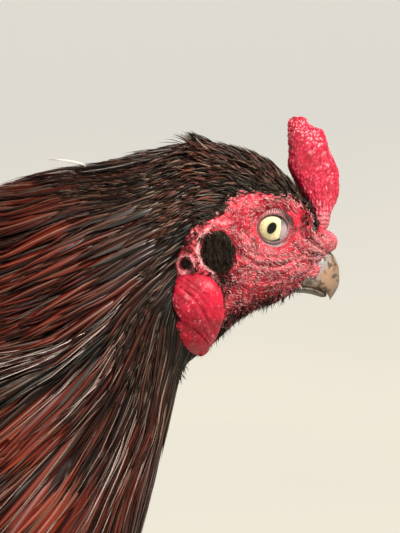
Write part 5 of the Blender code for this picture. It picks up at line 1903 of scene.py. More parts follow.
@dataclass
class Wing:
    """A folded wing: primaries, secondaries, greater coverts, and rows of small coverts over the shoulder."""

    plumage: Plumage
    side: float
    front: float = 14.95
    turn: float = math.radians(88)
    rise: float = math.radians(8)
    reach: float = 0.232
    half: float = 0.042
    tiers: tuple[WingTier, ...] = (
        WingTier(9, 0.084, 0.012, 0.134, 0.0085, 0.0028, -0.006, 0.010, 0.0, 0.9, 0.2),
        WingTier(12, 0.078, 0.029, 0.104, 0.0100, 0.0060, -0.026, -0.006, 0.0015, 0.1, 0.35),
        WingTier(13, 0.048, 0.034, 0.064, 0.0075, 0.0098, -0.014, 0.0, 0.0030, 1.0, 0.5),
        WingTier(11, 0.030, 0.034, 0.050, 0.0062, 0.0112, -0.010, 0.0, 0.0040, 0.8, 0.5),
    )

    def __post_init__(self) -> None:
        """Measures the way back along the wing."""
        steps = 24
        front, turn, reach = (np.array([value]) for value in (self.front, self.turn, self.reach))
        self.trail = self.plumage.trunk.trail(front, turn, reach, steps)[0]
        self.ways = np.linspace(0, self.reach, steps)

    def place(self, along: Array, across: Array, up: Array) -> Array:
        """Points along, across and over the wing's middle line.

        Args:
            along: metres back from the shoulder.
            across: metres up from the middle line.
            up: metres out from the body.

        Returns:
            The points.
        """
        along, across, up = np.broadcast_arrays(along, across, up)
        here = np.interp(along, self.ways, self.trail)
        middle = self.turn - self.rise * along / self.reach
        turn = middle - across / self.plumage.trunk.speed(here, np.full(here.shape, self.turn))[1]
        return self.plumage.trunk.surface(here, self.side * turn, up)

    def tier(self, tier: WingTier) -> Shape:
        """Lays one tier of blades, shingled from the lower edge up.

        Args:
            tier: its sizes.

        Returns:
            The tier's feathers.
        """
        places = len(BLADE) + 1
        share = np.linspace(0, 1, tier.count)[:, None]
        t = np.linspace(0, 1, places)[None, :]
        own = tier.length * (1 - 0.10 * np.abs(share - 0.5))
        swing = (tier.fan * (share - 0.5) - 0.010 + tier.sweep) * t
        across = -tier.spread + 2 * tier.spread * share + swing
        rise = tier.base + 0.0032 * t - 0.0022 * t * t - tier.sink * (1 - t) ** 2
        rise = rise - 0.55 * tier.base * (across / self.half) ** 2
        along = tier.start + own * t - 0.012 * share
        many, draw = tier.count, self.plumage
        tone = np.clip(tier.tone + 0.12 * draw.between(-1, 1, many), 0, 1)
        patch = Plumage.patch(16 + share[:, 0] * 4, self.side * (1.2 + 4 * tier.start + 0 * share[:, 0]))
        looks = Strokes(
            np.full(many, tier.half_width), BLADE, tone, np.full(many, tier.dusk),
            self.side * (0.16 + 0.03 * draw.between(-1, 1, many)), patch, 0.06, 7,
        )
        return shingled(self.place, along, across, rise, looks)

    def coverts(self) -> Shape:
        """Small overlapping feathers of the wing bow.

        Returns:
            The coverts.
        """
        many, draw = 1000, self.plumage
        along, across = draw.between(-0.020, 0.052, many), draw.between(-0.042, 0.042, many)
        return draw.lay(Group(
            along, across, 0.022 * draw.between(0.8, 1.15, many), 0.0034 * draw.between(0.8, 1.15, many),
            np.full(many, -0.0022), 0.0005 + 0.0010 * draw.draw.random(many), draw.between(0.1, 0.85, many),
            (draw.draw.random(many) < 0.12) * 0.7, ROUNDED, 0.0, 0.15, 0.7,
        ), self.bow)

    def bow(self, along: Array, across: Array, up: Array) -> Array:
        """Places over the rounded shoulder of the wing, for feathers laid by the metre."""
        dome = 0.0128 * np.sqrt(np.clip(1 - (across / 0.046) ** 2, 0, 1)) * smoothstep(-0.012, 0.030, along)
        return self.place(along, across, up + dome)

    def core(self) -> Shape:
        """The wing's arm under its feathers.

        Returns:
            The arm's closed form, valued as a feather in shade.
        """
        share = np.linspace(0, 1, 16)[:, None]
        half = 0.042 * np.sin(math.pi * (0.02 + 0.68 * share)) ** 0.7
        thick = 0.0115 * np.sin(math.pi * (0.02 + 0.88 * share)) ** 0.8 * (1 - 0.45 * share)
        angle = full_circle(32)[None, :]
        up = thick * np.sin(angle) * (np.sin(angle) > 0) - 0.003 * (np.sin(angle) <= 0)
        rings = self.place(0.004 + 0.116 * share + 0 * angle, half * np.cos(angle), up)
        shape = tube(rings)
        many = len(shape.points)
        shape.values = {
            "along": np.full(many, 0.3), "across": np.full(many, 0.5), "tone": np.full(many, 0.2),
            "dusk": np.ones(many),
        }
        shape.patch = np.tile(Plumage.patch(np.array([17.0]), np.array([self.side])), (many, 1))
        shape.creased = np.zeros(many, int)
        return shape


@dataclass
class Leg:
    """One leg: feathered thigh, scaled shank with its spur, and a foot of four clawed toes."""

    side: float
    word: str
    levels: Rows = (  # middle x, y, z, half length and half thickness of the thigh
        (620, 340, 3040, 360, 240), (600, 420, 2760, 440, 290), (550, 490, 2480, 450, 300),
        (470, 540, 2180, 390, 270), (360, 550, 1880, 290, 220), (250, 530, 1580, 190, 160),
        (170, 515, 1380, 128, 118), (140, 510, 1273, 108, 98),
    )
    toes: tuple[tuple[str, float, float, float], ...] = (  # name, heading in degrees, length and root radius
        ("inner", -32.0, 0.052, 0.0072), ("middle", 3.0, 0.070, 0.0078),
        ("outer", 38.0, 0.056, 0.0072), ("hind", 168.0, 0.034, 0.0062),
    )

    stagger: float = 0.012

    def __post_init__(self) -> None:
        """Sets the joints; the left foot stands a little ahead of the right one."""
        side = self.side
        shift = self.stagger * side + CENTRE_SHIFT
        self.table = np.array(self.levels) / TENTHS
        self.table[:, 0] += CENTRE_SHIFT + self.stagger * side * np.arange(8) / 7
        self.table[:, 1] *= side
        self.hock = np.array([0.014 + shift, side * 0.051, 0.127])
        self.ankle = np.array([0.040 + shift, side * 0.054, 0.014])
        self.root = np.array([self.ankle[0] + 0.001, self.ankle[1], 0.0])

    def thigh(self, level: Array, angle: Array, height: Array) -> Array:
        """Points of the thigh: level 0 is its top and 7 the hock, angle 0 its rear.

        Args:
            level: places down the thigh.
            angle: turns round it.
            height: heights over its skin.

        Returns:
            The points, with the coordinates last.
        """
        level, angle, height = np.broadcast_arrays(level, angle, height)
        x, y, z, a, b = np.moveaxis(rows_between(self.table, level), -1, 0)
        aim = unit(np.stack([-0.28 * (1 - np.clip(level, 0, 7) / 7), 0 * z, -np.ones_like(z)], -1))
        x = x + aim[..., 2] * (a + height) * np.cos(angle)
        z = z - aim[..., 0] * (a + height) * np.cos(angle) - np.maximum(level - 7, 0) * 0.01
        return np.stack([x, y + (b + height) * np.sin(angle), z], -1)

    def sleeve(self) -> Shape:
        """The skin of the thigh, under its feathers."""
        level, angle = np.meshgrid(
            np.linspace(0, 7, 36), full_circle(48), indexing="ij"
        )
        return tube(self.thigh(level, angle, -0.0032 * smoothstep(7.0, 5.0, level)))

    def plumes(self, plumage: Plumage) -> Shape:
        """Close feathers of the thigh, down to the hock.

        Args:
            plumage: lays them.

        Returns:
            The feathers.
        """
        many = 2100
        root = 6.7 * plumage.draw.random(many) ** 0.8
        turn = plumage.between(-math.pi, math.pi, many)
        small = 1 - 0.62 * smoothstep(2.0, 6.5, root)
        group = Group(
            root, turn, 0.023 * small * plumage.between(0.85, 1.1, many),
            0.0036 * small * plumage.between(0.85, 1.15, many), np.full(many, -0.0034) * small,
            0.0002 + 0.0010 * plumage.draw.random(many), plumage.between(0, 1, many), np.full(many, 0.4),
            ROUNDED, 0.002, 0.12, 0.7, ridge=0.10,
        )
        made = plumage.lay(group, self.thigh)
        made.patch = made.patch * 0.4 + np.array([0.55, 0.05 if self.side > 0 else 0.55])
        return made

    def scaled_rings(
        self, centres: Array, sizes: Array, fore: Array, out: Array, pitch: float, front: float
    ) -> Shape:
        """A limb with plates across its front and small scales behind.

        Args:
            centres: the middle of each ring.
            sizes: half length and half thickness of each ring.
            fore: the direction of the plates.
            out: the other direction of the rings.
            pitch: length of a plate.
            front: share of the girth that the plates cover.

        Returns:
            The limb.
        """
        angle = full_circle(56)[None, :]
        run = np.concatenate([[0], np.cumsum(np.linalg.norm(np.diff(centres, axis=0), axis=1))])[:, None]
        facing = smoothstep(front, front + 0.18, np.cos(angle))
        split = np.mod(run / pitch + 0.5 * (np.sin(angle) > 0), 1.0)
        plate = smoothstep(0.0, 0.22, split) * (1 - 0.55 * split)
        rings = (
            centres[:, None] + fore * (sizes[:, 0:1] * np.cos(angle))[..., None]
            + out * (sizes[:, 1:2] * np.sin(angle))[..., None]
        )
        small = pebbles(rings, 2.0 * MM, 3.0)
        middle = bump(np.sin(angle), 0.07) * (np.cos(angle) > 0)
        rise = facing * (0.85 * plate - 0.35 * middle) + (1 - facing) * 0.38 * small
        swell = unit(rings - centres[:, None]) * ((rise - 0.25) * MM)[..., None]
        seam = facing * np.maximum(1 - smoothstep(0.0, 0.16, split), middle)
        seam = seam + (1 - facing) * (1 - small) * 0.8
        return tube(rings + swell, {"seam": np.clip(seam, 0, 1)})

    def shank(self) -> Shape:
        """The shank with two rows of plates down its front."""
        share = np.linspace(-0.01, 1.02, 170)
        centres = self.hock + (self.ankle - self.hock) * share[:, None]
        slim = 1 - 0.24 * np.sin(math.pi * np.clip(share * 1.1, 0, 1)) ** 0.7
        sizes = np.stack([0.0108 * slim, 0.0092 * slim], -1)
        aim = unit(self.ankle - self.hock)
        out = unit(np.array([0.0, self.side, 0.0]) - aim * aim[1] * self.side)
        fore = np.cross(out, aim) * self.side
        fore = fore * np.sign(fore[0])
        return self.scaled_rings(centres, sizes, fore, out, 0.0072, 0.15)

    def toe(self, heading: float, length: float, radius: float, hind: bool) -> Shape:
        """One toe, flat under its pads.

        Args:
            heading: degrees from straight ahead, outward.
            length: its length without the claw.
            radius: half its thickness at the root.
            hind: whether it is the hind toe, whose root is raised.

        Returns:
            The toe.
        """
        turn = math.radians(self.side * heading)
        aim = np.array([math.cos(turn), math.sin(turn), 0.0])
        share = np.linspace(0, 1, 110)
        size = radius * (1 - 0.40 * share) * (1 + 0.09 * np.cos(6 * math.pi * share))
        size = size * np.where(share > 0.94, np.sqrt(np.clip(1 - ((share - 0.94) / 0.075) ** 2, 0.05, 1)), 1)
        lift = size * 0.66 + (0.0040 * (1 - share) ** 3 if hind else 0.0)
        start = self.root + aim * 0.004
        centres = start + aim * (length * share)[:, None] + np.array([0, 0, 1.0]) * lift[:, None]
        out = np.array([-aim[1], aim[0], 0.0])
        sizes = np.stack([size, size], -1)
        made = self.scaled_rings(centres, sizes, np.array([0, 0, 1.0]), out, 0.0030, 0.30)
        made.points[:, 2] = np.maximum(made.points[:, 2], 0.0)
        return made

    def pad(self) -> Shape:
        """The ball of the foot under the shank."""
        tilt = np.linspace(0.06, math.pi - 0.06, 30)
        centres = self.root + np.stack([0 * tilt, 0 * tilt, 0.0084 + 0.0110 * np.cos(tilt)], -1)
        sizes = np.stack([0.0135 * np.sin(tilt), 0.0125 * np.sin(tilt)], -1)
        made = self.scaled_rings(centres, sizes, np.array([1.0, 0, 0]), np.array([0, 1.0, 0]), 0.0040, 1.2)
        made.points[:, 2] = np.maximum(made.points[:, 2], 0.0)
        return made

    @staticmethod
    def spike(base: Array, aim: Array, radius: float, length: float, bend: Array) -> Shape:
        """A curved tapered claw or spur.

        Args:
            base: the middle of its root.
            aim: the way that it grows.
            radius: half its thickness at the root.
            length: its length.
            bend: how far it turns from its aim toward the tip.

        Returns:
            The spike.
        """
        share = np.linspace(0, 0.995, 34)[:, None]
        centres = base + aim * length * share + bend * length * share**2
        run = unit(aim + bend * 2 * share)
        across = unit(np.cross(run, np.array([0, 0, 1.0])))
        high = np.cross(across, run)
        angle = full_circle(28)[None, :, None]
        size = (radius * (1 - share) ** 0.8)[:, None]
        rings = centres[:, None] + across[:, None] * size * 0.72 * np.cos(angle)
        rings = rings + high[:, None] * size * np.sin(angle)
        along = share + 0 * angle[..., 0]
        return tube(rings, {"along": along, "under": 0 * along})

    def build(self, scales: Material, horn: Material) -> list[Object]:
        """Makes shank, foot, claws and spur.

        Args:
            scales: finish of the shank and foot.
            horn: finish of claws and spur.

        Returns:
            The pieces.
        """
        toes = [self.toe(h, length, r, name == "hind") for name, h, length, r in self.toes]
        shank = self.shank().build("shank_scutes_" + self.word, scales)
        foot = joined([self.pad(), *toes]).build("foot_scutes_" + self.word, scales)
        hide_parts("shank_" + self.word)
        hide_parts("foot_" + self.word)
        level = self.hock + (self.ankle - self.hock) * 0.66
        aim = unit(np.array([-0.80, -self.side * 0.42, -0.10]))
        base = level + np.array([-0.0050, -self.side * 0.0040, 0])
        spur = self.spike(base, aim, 0.0050, 0.0170, np.array([0, 0, 0.10]))
        spur = spur.build("spur_horn_" + self.word, horn)
        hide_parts("spur_" + self.word)
        made = [shank, foot, spur]
        for name, heading, length, radius in self.toes:
            turn = math.radians(self.side * heading)
            aim = np.array([math.cos(turn), math.sin(turn), 0.0])
            base = self.root + aim * length + np.array([0, 0, radius * 0.50])
            claw = self.spike(
                base, unit(aim + np.array([0, 0, 0.24])), radius * 0.44, 0.0150, np.array([0, 0, -0.34])
            ).build(f"claw_horn_{name}_{self.word}", horn)
            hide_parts(f"claw_{name}_{self.word}")
            made.append(claw)
        return made


@dataclass(frozen=True)
class Bristles:
    """Hair-like feathers of the bare face: ear tuft, jaw fringe, brow lashes and scattered stubble."""

    skin: Skin
    plumage: Plumage
    jaw: Line = ((12.0, -22.0), (0.0, -25.4), (-9.5, -29.4), (-15.5, -34.6), (-21.0, -39.0), (-26.0, -43.5),
           (-30.5, -47.0))
    throat: Line = ((-27.0, -43.8), (-29.6, -46.8), (-31.2, -50.5))

    def strands(
        self, view: Array, side: float, lean: Array | tuple[float, float], stand: float, length: Array,
        half: float, dusk: float, sag: float = 0.0, wave: float = 0.0, stray: float = 0.30,
    ) -> Shape:
        """Strands at places of the side view.

        Args:
            view: millimetres ahead of the eye and above it.
            side: 1 or -1.
            lean: direction that they lie in, ahead and up, for all or for each.
            stand: how far they stand off the skin.
            length: their lengths.
            half: half their width at the root.
            dusk: 1 for black and 0 for pale.
            sag: how far their tips drop, as a share of their length.
            wave: how far they bend to and fro, as a share of their length.
            stray: how far each turns from the common lie.

        Returns:
            The strands.
        """
        found, points, normals = self.skin.meet(view, side)
        lean = np.broadcast_to(lean, view.shape)[found]
        points, normals, length = points[found], normals[found], length[found]
        many, draw = len(points), self.plumage
        lie = np.stack([lean[:, 0], 0 * lean[:, 0], lean[:, 1]], -1)
        aim = unit(lie - normals * (lie * normals).sum(-1, keepdims=True) + normals * stand
                   + stray * draw.draw.normal(size=(many, 3)))
        share = np.linspace(0, 1, 4)[None, :, None]
        centre = points[:, None] - normals[:, None] * 0.0003 + aim[:, None] * length[:, None, None] * share
        centre = centre + np.array([0, 0, -1.0]) * (sag * length)[:, None, None] * share**2
        bend = np.cross(aim, normals)[:, None] * (wave * length * draw.between(-1, 1, many))[:, None, None]
        centre = centre + bend * np.sin(math.pi * share * 1.6)
        station = 9 * np.clip(0.5 - view[found][:, 0] / 60, 0, 1)
        patch = Plumage.patch(station, side * (1.5 - view[found][:, 1] / 40))
        looks = Strokes(
            np.full(many, half) * draw.between(0.7, 1.2, many), BRISTLE, draw.between(0, 1, many),
            np.clip(dusk + 0.15 * draw.between(-1, 1, many), 0, 1), np.zeros(many), patch, 0.8,
        )
        up = np.repeat(normals[:, None], 4, axis=1)
        return vanes(centre, unit(np.gradient(centre, axis=1)), up, looks)

    def flow(self, spots: Array) -> Array:
        """Which way the face's quill sheaths lie: round the eye near it, and up and ahead on the cheek.

        Args:
            spots: places of the side view, in millimetres from the eye.

        Returns:
            Directions ahead and up.
        """
        around = unit(np.stack([-spots[:, 1], spots[:, 0] - 1.4], -1))
        near = smoothstep(17.0, 10.0, np.hypot(spots[:, 0] - 1.4, spots[:, 1]))[:, None]
        around = around * np.where(around[:, :1] < 0, -1, 1)
        ahead = np.array([0.75, 0.55]) + np.zeros_like(spots)
        aim = around * near + ahead * (1 - near)
        turn = 0.34 * self.plumage.draw.normal(size=len(spots))
        cos, sin = np.cos(turn), np.sin(turn)
        return np.stack([aim[:, 0] * cos - aim[:, 1] * sin, aim[:, 0] * sin + aim[:, 1] * cos], -1)

    def sheaths(self, side: float) -> Shape:
        """The pale wavy quill sheaths that cover the red face.

        Args:
            side: 1 or -1.

        Returns:
            The sheaths.
        """
        draw = self.plumage
        spots = np.stack([draw.between(-31, 24, 12500), draw.between(-34, 14.5, 12500)], -1)
        eye = np.hypot((spots[:, 0] - 1.5) / 7.0, (spots[:, 1] - 0.4) / 7.2)
        ear = np.hypot((spots[:, 0] - EAR_SPOT[0]) / 5.9, (spots[:, 1] - EAR_SPOT[1]) / 6.8)
        pit = away(spots, *EAR_PIT)
        hollow = away(spots, 10.6, 1.8, 0.6) * 0.75
        keep = (depth_inside(spots, BARE_FACE) > -0.3) & (eye > 1) & (ear > 1.04)
        keep &= (pit > 3.2) & (hollow > 2.4)
        share = np.where(spots[:, 1] < -19, 0.45, 1.0) * np.where(spots[:, 0] < -21.5, 0.25, 1.0)
        share = share * np.where(spots[:, 0] > 17, 0.5, 1.0) * (segment_distance(spots, EAR_ROLL) > 1.5)
        keep &= draw.draw.random(len(spots)) < share
        spots = spots[keep]
        many = len(spots)
        return self.strands(
            spots, side, self.flow(spots), 0.14, draw.between(0.0009, 0.0020, many), 0.00016, 0.0, 0.30, 0.12
        )

    def side_shapes(self, side: float) -> list[Shape]:
        """All the dark bristles of one side of the head.

        Args:
            side: 1 or -1.

        Returns:
            The groups of strands.
        """
        draw = self.plumage
        disc = draw.draw.normal(size=(2600, 2)) * np.array([3.2, 3.9])
        disc = disc[np.hypot(disc[:, 0] / 5.4, (disc[:, 1] - 0.6) / 6.4) < 1] + np.array(EAR_SPOT)
        aim = np.stack([-0.05 + 0.06 * (disc[:, 0] - EAR_SPOT[0]), np.full(len(disc), -0.8)], -1)
        length = draw.between(0.0026, 0.0050, len(disc))
        made = [self.strands(disc, side, aim, 0.60, length, 0.00022, 0.60, 0.2, 0.2)]
        along = draw.between(0, 1, 900) ** 0.8
        jaw = rows_between(np.array(self.jaw), along * (len(self.jaw) - 1))
        jaw = jaw + np.stack([0 * along, np.abs(draw.draw.normal(size=900)) * 2.6 + 0.1], -1)
        length = draw.between(0.0016, 0.0048, 900)
        made.append(self.strands(jaw, side, (-0.25, -0.95), 0.45, length, 0.00013, 0.95))
        spots = np.stack([draw.between(-31, 14, 4200), draw.between(-38, 15, 4200)], -1)
        keep = (depth_inside(spots, BARE_FACE) > 0.2) & (away(spots, 1.7, 0.5) > 7.8)
        spots = spots[keep & (away(spots, *EAR_SPOT) > 5.6)]
        edge = depth_inside(spots, BARE_FACE)
        share = np.where(spots[:, 1] > 9.0, 0.85, np.where(spots[:, 1] < -15, 0.45, 0.14))
        share = np.maximum(share, np.where(edge < 2.4, 0.8, 0.0))
        spots = spots[draw.draw.random(len(spots)) < share]
        length = draw.between(0.0009, 0.0020, len(spots)) * (1 + 0.7 * (depth_inside(spots, BARE_FACE) < 2.4))
        made.append(self.strands(spots, side, self.flow(spots) * -1, 0.25, length, 0.00011, 0.85, wave=0.2))
        below = np.array(EAR_SPOT) + draw.draw.normal(size=(260, 2)) * np.array([2.4, 2.8])
        below = below + np.array([2.0, -9.0])
        length = draw.between(0.0016, 0.0034, 260)
        made.append(self.strands(below, side, (0.1, -0.9), 0.3, length, 0.00014, 1.0))
        rim = np.array(EAR_RIM)[draw.draw.integers(0, 5, 200)] + draw.draw.normal(size=(200, 2)) * 1.4
        rim = rim + np.array([-1.8, -0.5])
        length = draw.between(0.0020, 0.0042, 200)
        made.append(self.strands(rim, side, (-0.8, -0.3), 0.5, length, 0.00014, 0.9))
        throat = rows_between(np.array(self.throat), draw.between(0, 1, 130) * (len(self.throat) - 1))
        throat = throat + np.stack([-draw.between(0.3, 2.2, 130), draw.between(0.0, 1.6, 130)], -1)
        length = draw.between(0.0030, 0.0062, 130)
        made.append(self.strands(throat, side, (0.1, -1.0), 0.30, length, 0.00020, 0.9))
        # Short feathers cross the upper border of the face, so that it thins out.
        spots = np.stack([draw.between(-28, 13, 5000), draw.between(1, 16, 5000)], -1)
        inside = depth_inside(spots, BARE_FACE)
        spots = spots[(inside > -1.0) & (draw.draw.random(5000) < smoothstep(2.8, -0.4, inside))]
        length = draw.between(0.0020, 0.0044, len(spots))
        made.append(self.strands(spots, side, (-0.95, 0.05), 0.24, length, 0.00024, 0.35, wave=0.15))
        return made


@dataclass(frozen=True)
class Papillae:
    """Tiny fleshy grains strewn over the bare face by Geometry Nodes."""

    spacing: float = 0.00118
    size: float = 0.00027
    seed: int = 5
    density: float = 1.4e6  # grains to the square metre
    shortest: tuple[float, float, float] = (0.5, 0.5, 0.35)
    longest: tuple[float, float, float] = (1.5, 1.1, 0.9)

    def tree(self, finish: Material) -> NodeTree:
        """Builds the node tree.

        Args:
            finish: the grains' material.

        Returns:
            The tree, with inputs for spacing and size.
        """
        tree = bpy.data.node_groups.new("papillae", "GeometryNodeTree")
        tree.interface.new_socket("Geometry", in_out="OUTPUT", socket_type="NodeSocketGeometry")
        tree.interface.new_socket("Skin", in_out="INPUT", socket_type="NodeSocketGeometry")
        for name in ("Spacing", "Size"):
            tree.interface.new_socket(name, in_out="INPUT", socket_type="NodeSocketFloat")
        given = add_node(tree, "NodeGroupInput")
        where = add_node(tree, "GeometryNodeInputNamedAttribute", {"Name": "bare"}, data_type="FLOAT")
        sharp = add_node(tree, "ShaderNodeMath", {0: where.outputs["Attribute"], 1: 6.0}, operation="POWER")
        strewn = add_node(tree, "GeometryNodeDistributePointsOnFaces", {
            "Mesh": given.outputs["Skin"], "Distance Min": given.outputs["Spacing"],
            "Density Max": self.density, "Density Factor": sharp.outputs[0], "Seed": self.seed,
        }, distribute_method="POISSON")
        grain = add_node(
            tree, "GeometryNodeMeshIcoSphere", {"Radius": given.outputs["Size"], "Subdivisions": 2}
        )
        sizes = {0: self.shortest, 1: self.longest, "Seed": self.seed + 1}
        vary = add_node(tree, "FunctionNodeRandomValue", sizes, data_type="FLOAT_VECTOR")
        placed = add_node(tree, "GeometryNodeInstanceOnPoints", {
            "Points": strewn.outputs["Points"], "Instance": grain.outputs["Mesh"],
            "Rotation": strewn.outputs["Rotation"], "Scale": vary.outputs["Value"],
        })
        real = add_node(tree, "GeometryNodeRealizeInstances", {"Geometry": placed.outputs["Instances"]})
        dressed = add_node(
            tree, "GeometryNodeSetMaterial", {"Geometry": real.outputs["Geometry"], "Material": finish}
        )
        add_node(tree, "NodeGroupOutput", {"Geometry": dressed.outputs["Geometry"]})
        return tree

    def build(self, skin: Object, finish: Material) -> Object:
        """Strews the grains over the skin.

        Args:
            skin: the skin, which holds the value bare.
            finish: the grains' material.

        Returns:
            The grains as a plain mesh.
        """
        bed = placed("papilla_bed", skin.data.copy())
        tree = self.tree(finish)
        strew = bed.modifiers.new("strew", "NODES")
        strew.node_group = tree
        sockets = {item.name: item.identifier for item in tree.interface.items_tree if item.in_out == "INPUT"}
        strew[sockets["Spacing"]] = self.spacing
        strew[sockets["Size"]] = self.size
        graph = bpy.context.evaluated_depsgraph_get()
        mesh = bpy.data.meshes.new_from_object(bed.evaluated_get(graph))
        bpy.data.objects.remove(bed)
        made = placed("papillae", mesh)
        mesh.polygons.foreach_set("use_smooth", np.ones(len(mesh.polygons), bool))
        spots = np.empty(len(mesh.vertices) * 3, np.float32)
        mesh.vertices.foreach_get("co", spots)
        spots = spots.reshape(-1, 3)
        turn = np.arctan2(spots[:, 1], spots[:, 2] - 0.51)
        along, around = (EYE[0] + 0.03 - spots[:, 0]) * 3.0, 0.96 * np.mod(turn / FULL_TURN, 1)
        unwrap(mesh, 0.02 + np.stack([along, around], -1))
        return made


@dataclass(frozen=True)
class Studio:
    """Pale round sweep, soft lights, and the camera at the photograph's place."""

    middle: tuple[float, float] = (0.1933, 0.5071)
    tall: float = 0.184
    distance: float = 0.70
    film: float = 36.0
    air: float = 0.13
    flat: float = 7.0
    curve: float = 4.0
    wall: float = 9.0
    lamps: tuple[tuple[object, ...], ...] = (  # name, place, size, power and colour
        ("key", (0.80, -1.05, 1.55), 0.20, 56.0, "#fff7ec"), ("fill", (-0.9, -1.5, 0.8), 1.2, 5.0, "#f2f5ff"),
        ("rim", (0.2, 1.3, 1.6), 0.8, 10.0, "#fffaf0"),
    )

    def sweep(self, finish: Material) -> Object:
        """A round floor that curves up into a wall all round.

        Args:
            finish: its paint.

        Returns:
            The sweep.
        """
        arc, turn = np.linspace(0, math.pi / 2, 24), full_circle(96)
        bend = self.flat + self.curve * np.sin(arc)
        reach = np.concatenate([[0.02, 1.0, 3.0], bend, [self.flat + self.curve]])
        level = np.concatenate([[0, 0, 0], self.curve * (1 - np.cos(arc)), [self.wall]])
        reach, level = reach[:, None], level[:, None]
        shape = tube(np.stack([reach * np.cos(turn), reach * np.sin(turn), level + 0 * turn], -1))
        # The sweep is open above, so that only its floor is capped.
        shape.triangles = shape.triangles[: len(turn)]
        shape.quads, shape.triangles = shape.quads[:, ::-1], shape.triangles[:, ::-1]
        made = shape.build("studio_sweep", finish)
        return made

    def lamp(self, name: str, place: tuple[float, ...], size: float, power: float, colour: str) -> None:
        """One square soft box that faces the bird's head.

        Args:
            name: its name.
            place: its middle.
            size: its edge in metres.
            power: its power in watts.
            colour: its light as a hex colour.
        """
        light = bpy.data.lights.new(name, "AREA")
        light.size, light.energy, light.color = size, power, linear(colour)[:3]
        made = placed(name, light)
        made.location = place
        aim = Vector((EYE[0] - 0.05, 0, EYE[2] - 0.03)) - Vector(place)
        made.rotation_euler = aim.to_track_quat("-Z", "Y").to_euler()

    def build(self, finish: Material) -> None:
        """Sets up sweep, lights and camera.

        Args:
            finish: paint of the sweep.
        """
        self.sweep(finish)
        for row in self.lamps:
            self.lamp(*row)
        world = bpy.data.worlds.new("studio_air")
        world.use_nodes = True
        world.node_tree.nodes["Background"].inputs["Color"].default_value = linear("#f4f2ee")
        world.node_tree.nodes["Background"].inputs["Strength"].default_value = self.air
        bpy.context.scene.world = world
        bpy.context.scene.view_settings.view_transform = "Standard"
        camera = bpy.data.cameras.new("camera")
        camera.sensor_width, camera.lens = self.film, self.film * self.distance / self.tall
        camera.clip_start, camera.clip_end = 0.05, 50.0
        made = placed("camera", camera)
        made.location = (self.middle[0], -self.distance, self.middle[1])
        made.rotation_euler = (math.pi / 2, 0, 0)
        bpy.context.scene.camera = made


class Slot(Enum):
    """Slots that the coat's pieces are listed with."""

    SKIN = "skin"
    COMB = "comb"
    HORN = "horn"
    IRIS = "iris"
    HACKLE = "hackle"
    BLACK = "black"
    WING = "wing"
    LEG = "leg"
    CLAW = "claw"


def settle(piece: Object) -> None:
    """Gives a piece its body, and reports it.

    Args:
        piece: the finished piece.
    """
    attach(piece, "root")
    LOG.info("%s: %d faces", piece.name, len(piece.data.polygons))


def build_head(skin: Skin, trunk: Trunk, hide: Material) -> None:
    """Makes eyes, lids, beak, comb and lobes.

    Args:
        skin: the skin that they are set in.
        trunk: the outline.
        hide: the skin's material.
    """
    flesh = FleshFinish(
        "comb flesh, living", roughness=0.36, shine=0.36, coat=0.10, coat_roughness=0.28
    ).make()
    horn = HornFinish("beak horn, grown", roughness=0.34, coat=0.2, coat_roughness=0.25).make()
    wet = EyeFinish("eye, wet", roughness=0.35, shine=0.12, coat=0.40, coat_roughness=0.02, ior=1.38).make()
    eyes = Eyes(skin)
    for side, word in SIDES:
        ball = eyes.ball(side, word, wet)
        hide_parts("eye_" + word)
        settle(ball)
        settle(eyes.lids(side, word, hide))
    beak = Beak()
    slate = HornFinish(
        "lower beak horn, slaty", roughness=0.38, coat=0.1, coat_roughness=0.3, base="#4a5055",
        middle="#574c42", tip="#463c34",
    ).make()
    halves = (("beak_upper", beak.upper, False, horn), ("beak_lower", beak.lower, True, slate))
    for name, rows, flat, kind in halves:
        piece = beak.half(name + "_horn", rows, flat, kind)
        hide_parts(name)
        settle(piece)
    settle(Comb().build(flesh))
    lobe = FleshFinish(
        "lobe flesh, blood-filled", roughness=0.46, shine=0.25, coat=0.04, coat_roughness=0.32,
        deep="#7e0518", mid="#b00c2c", light="#dc3f5e",
    ).make()
    for piece in EarLobes(trunk).build(lobe):
        settle(piece)


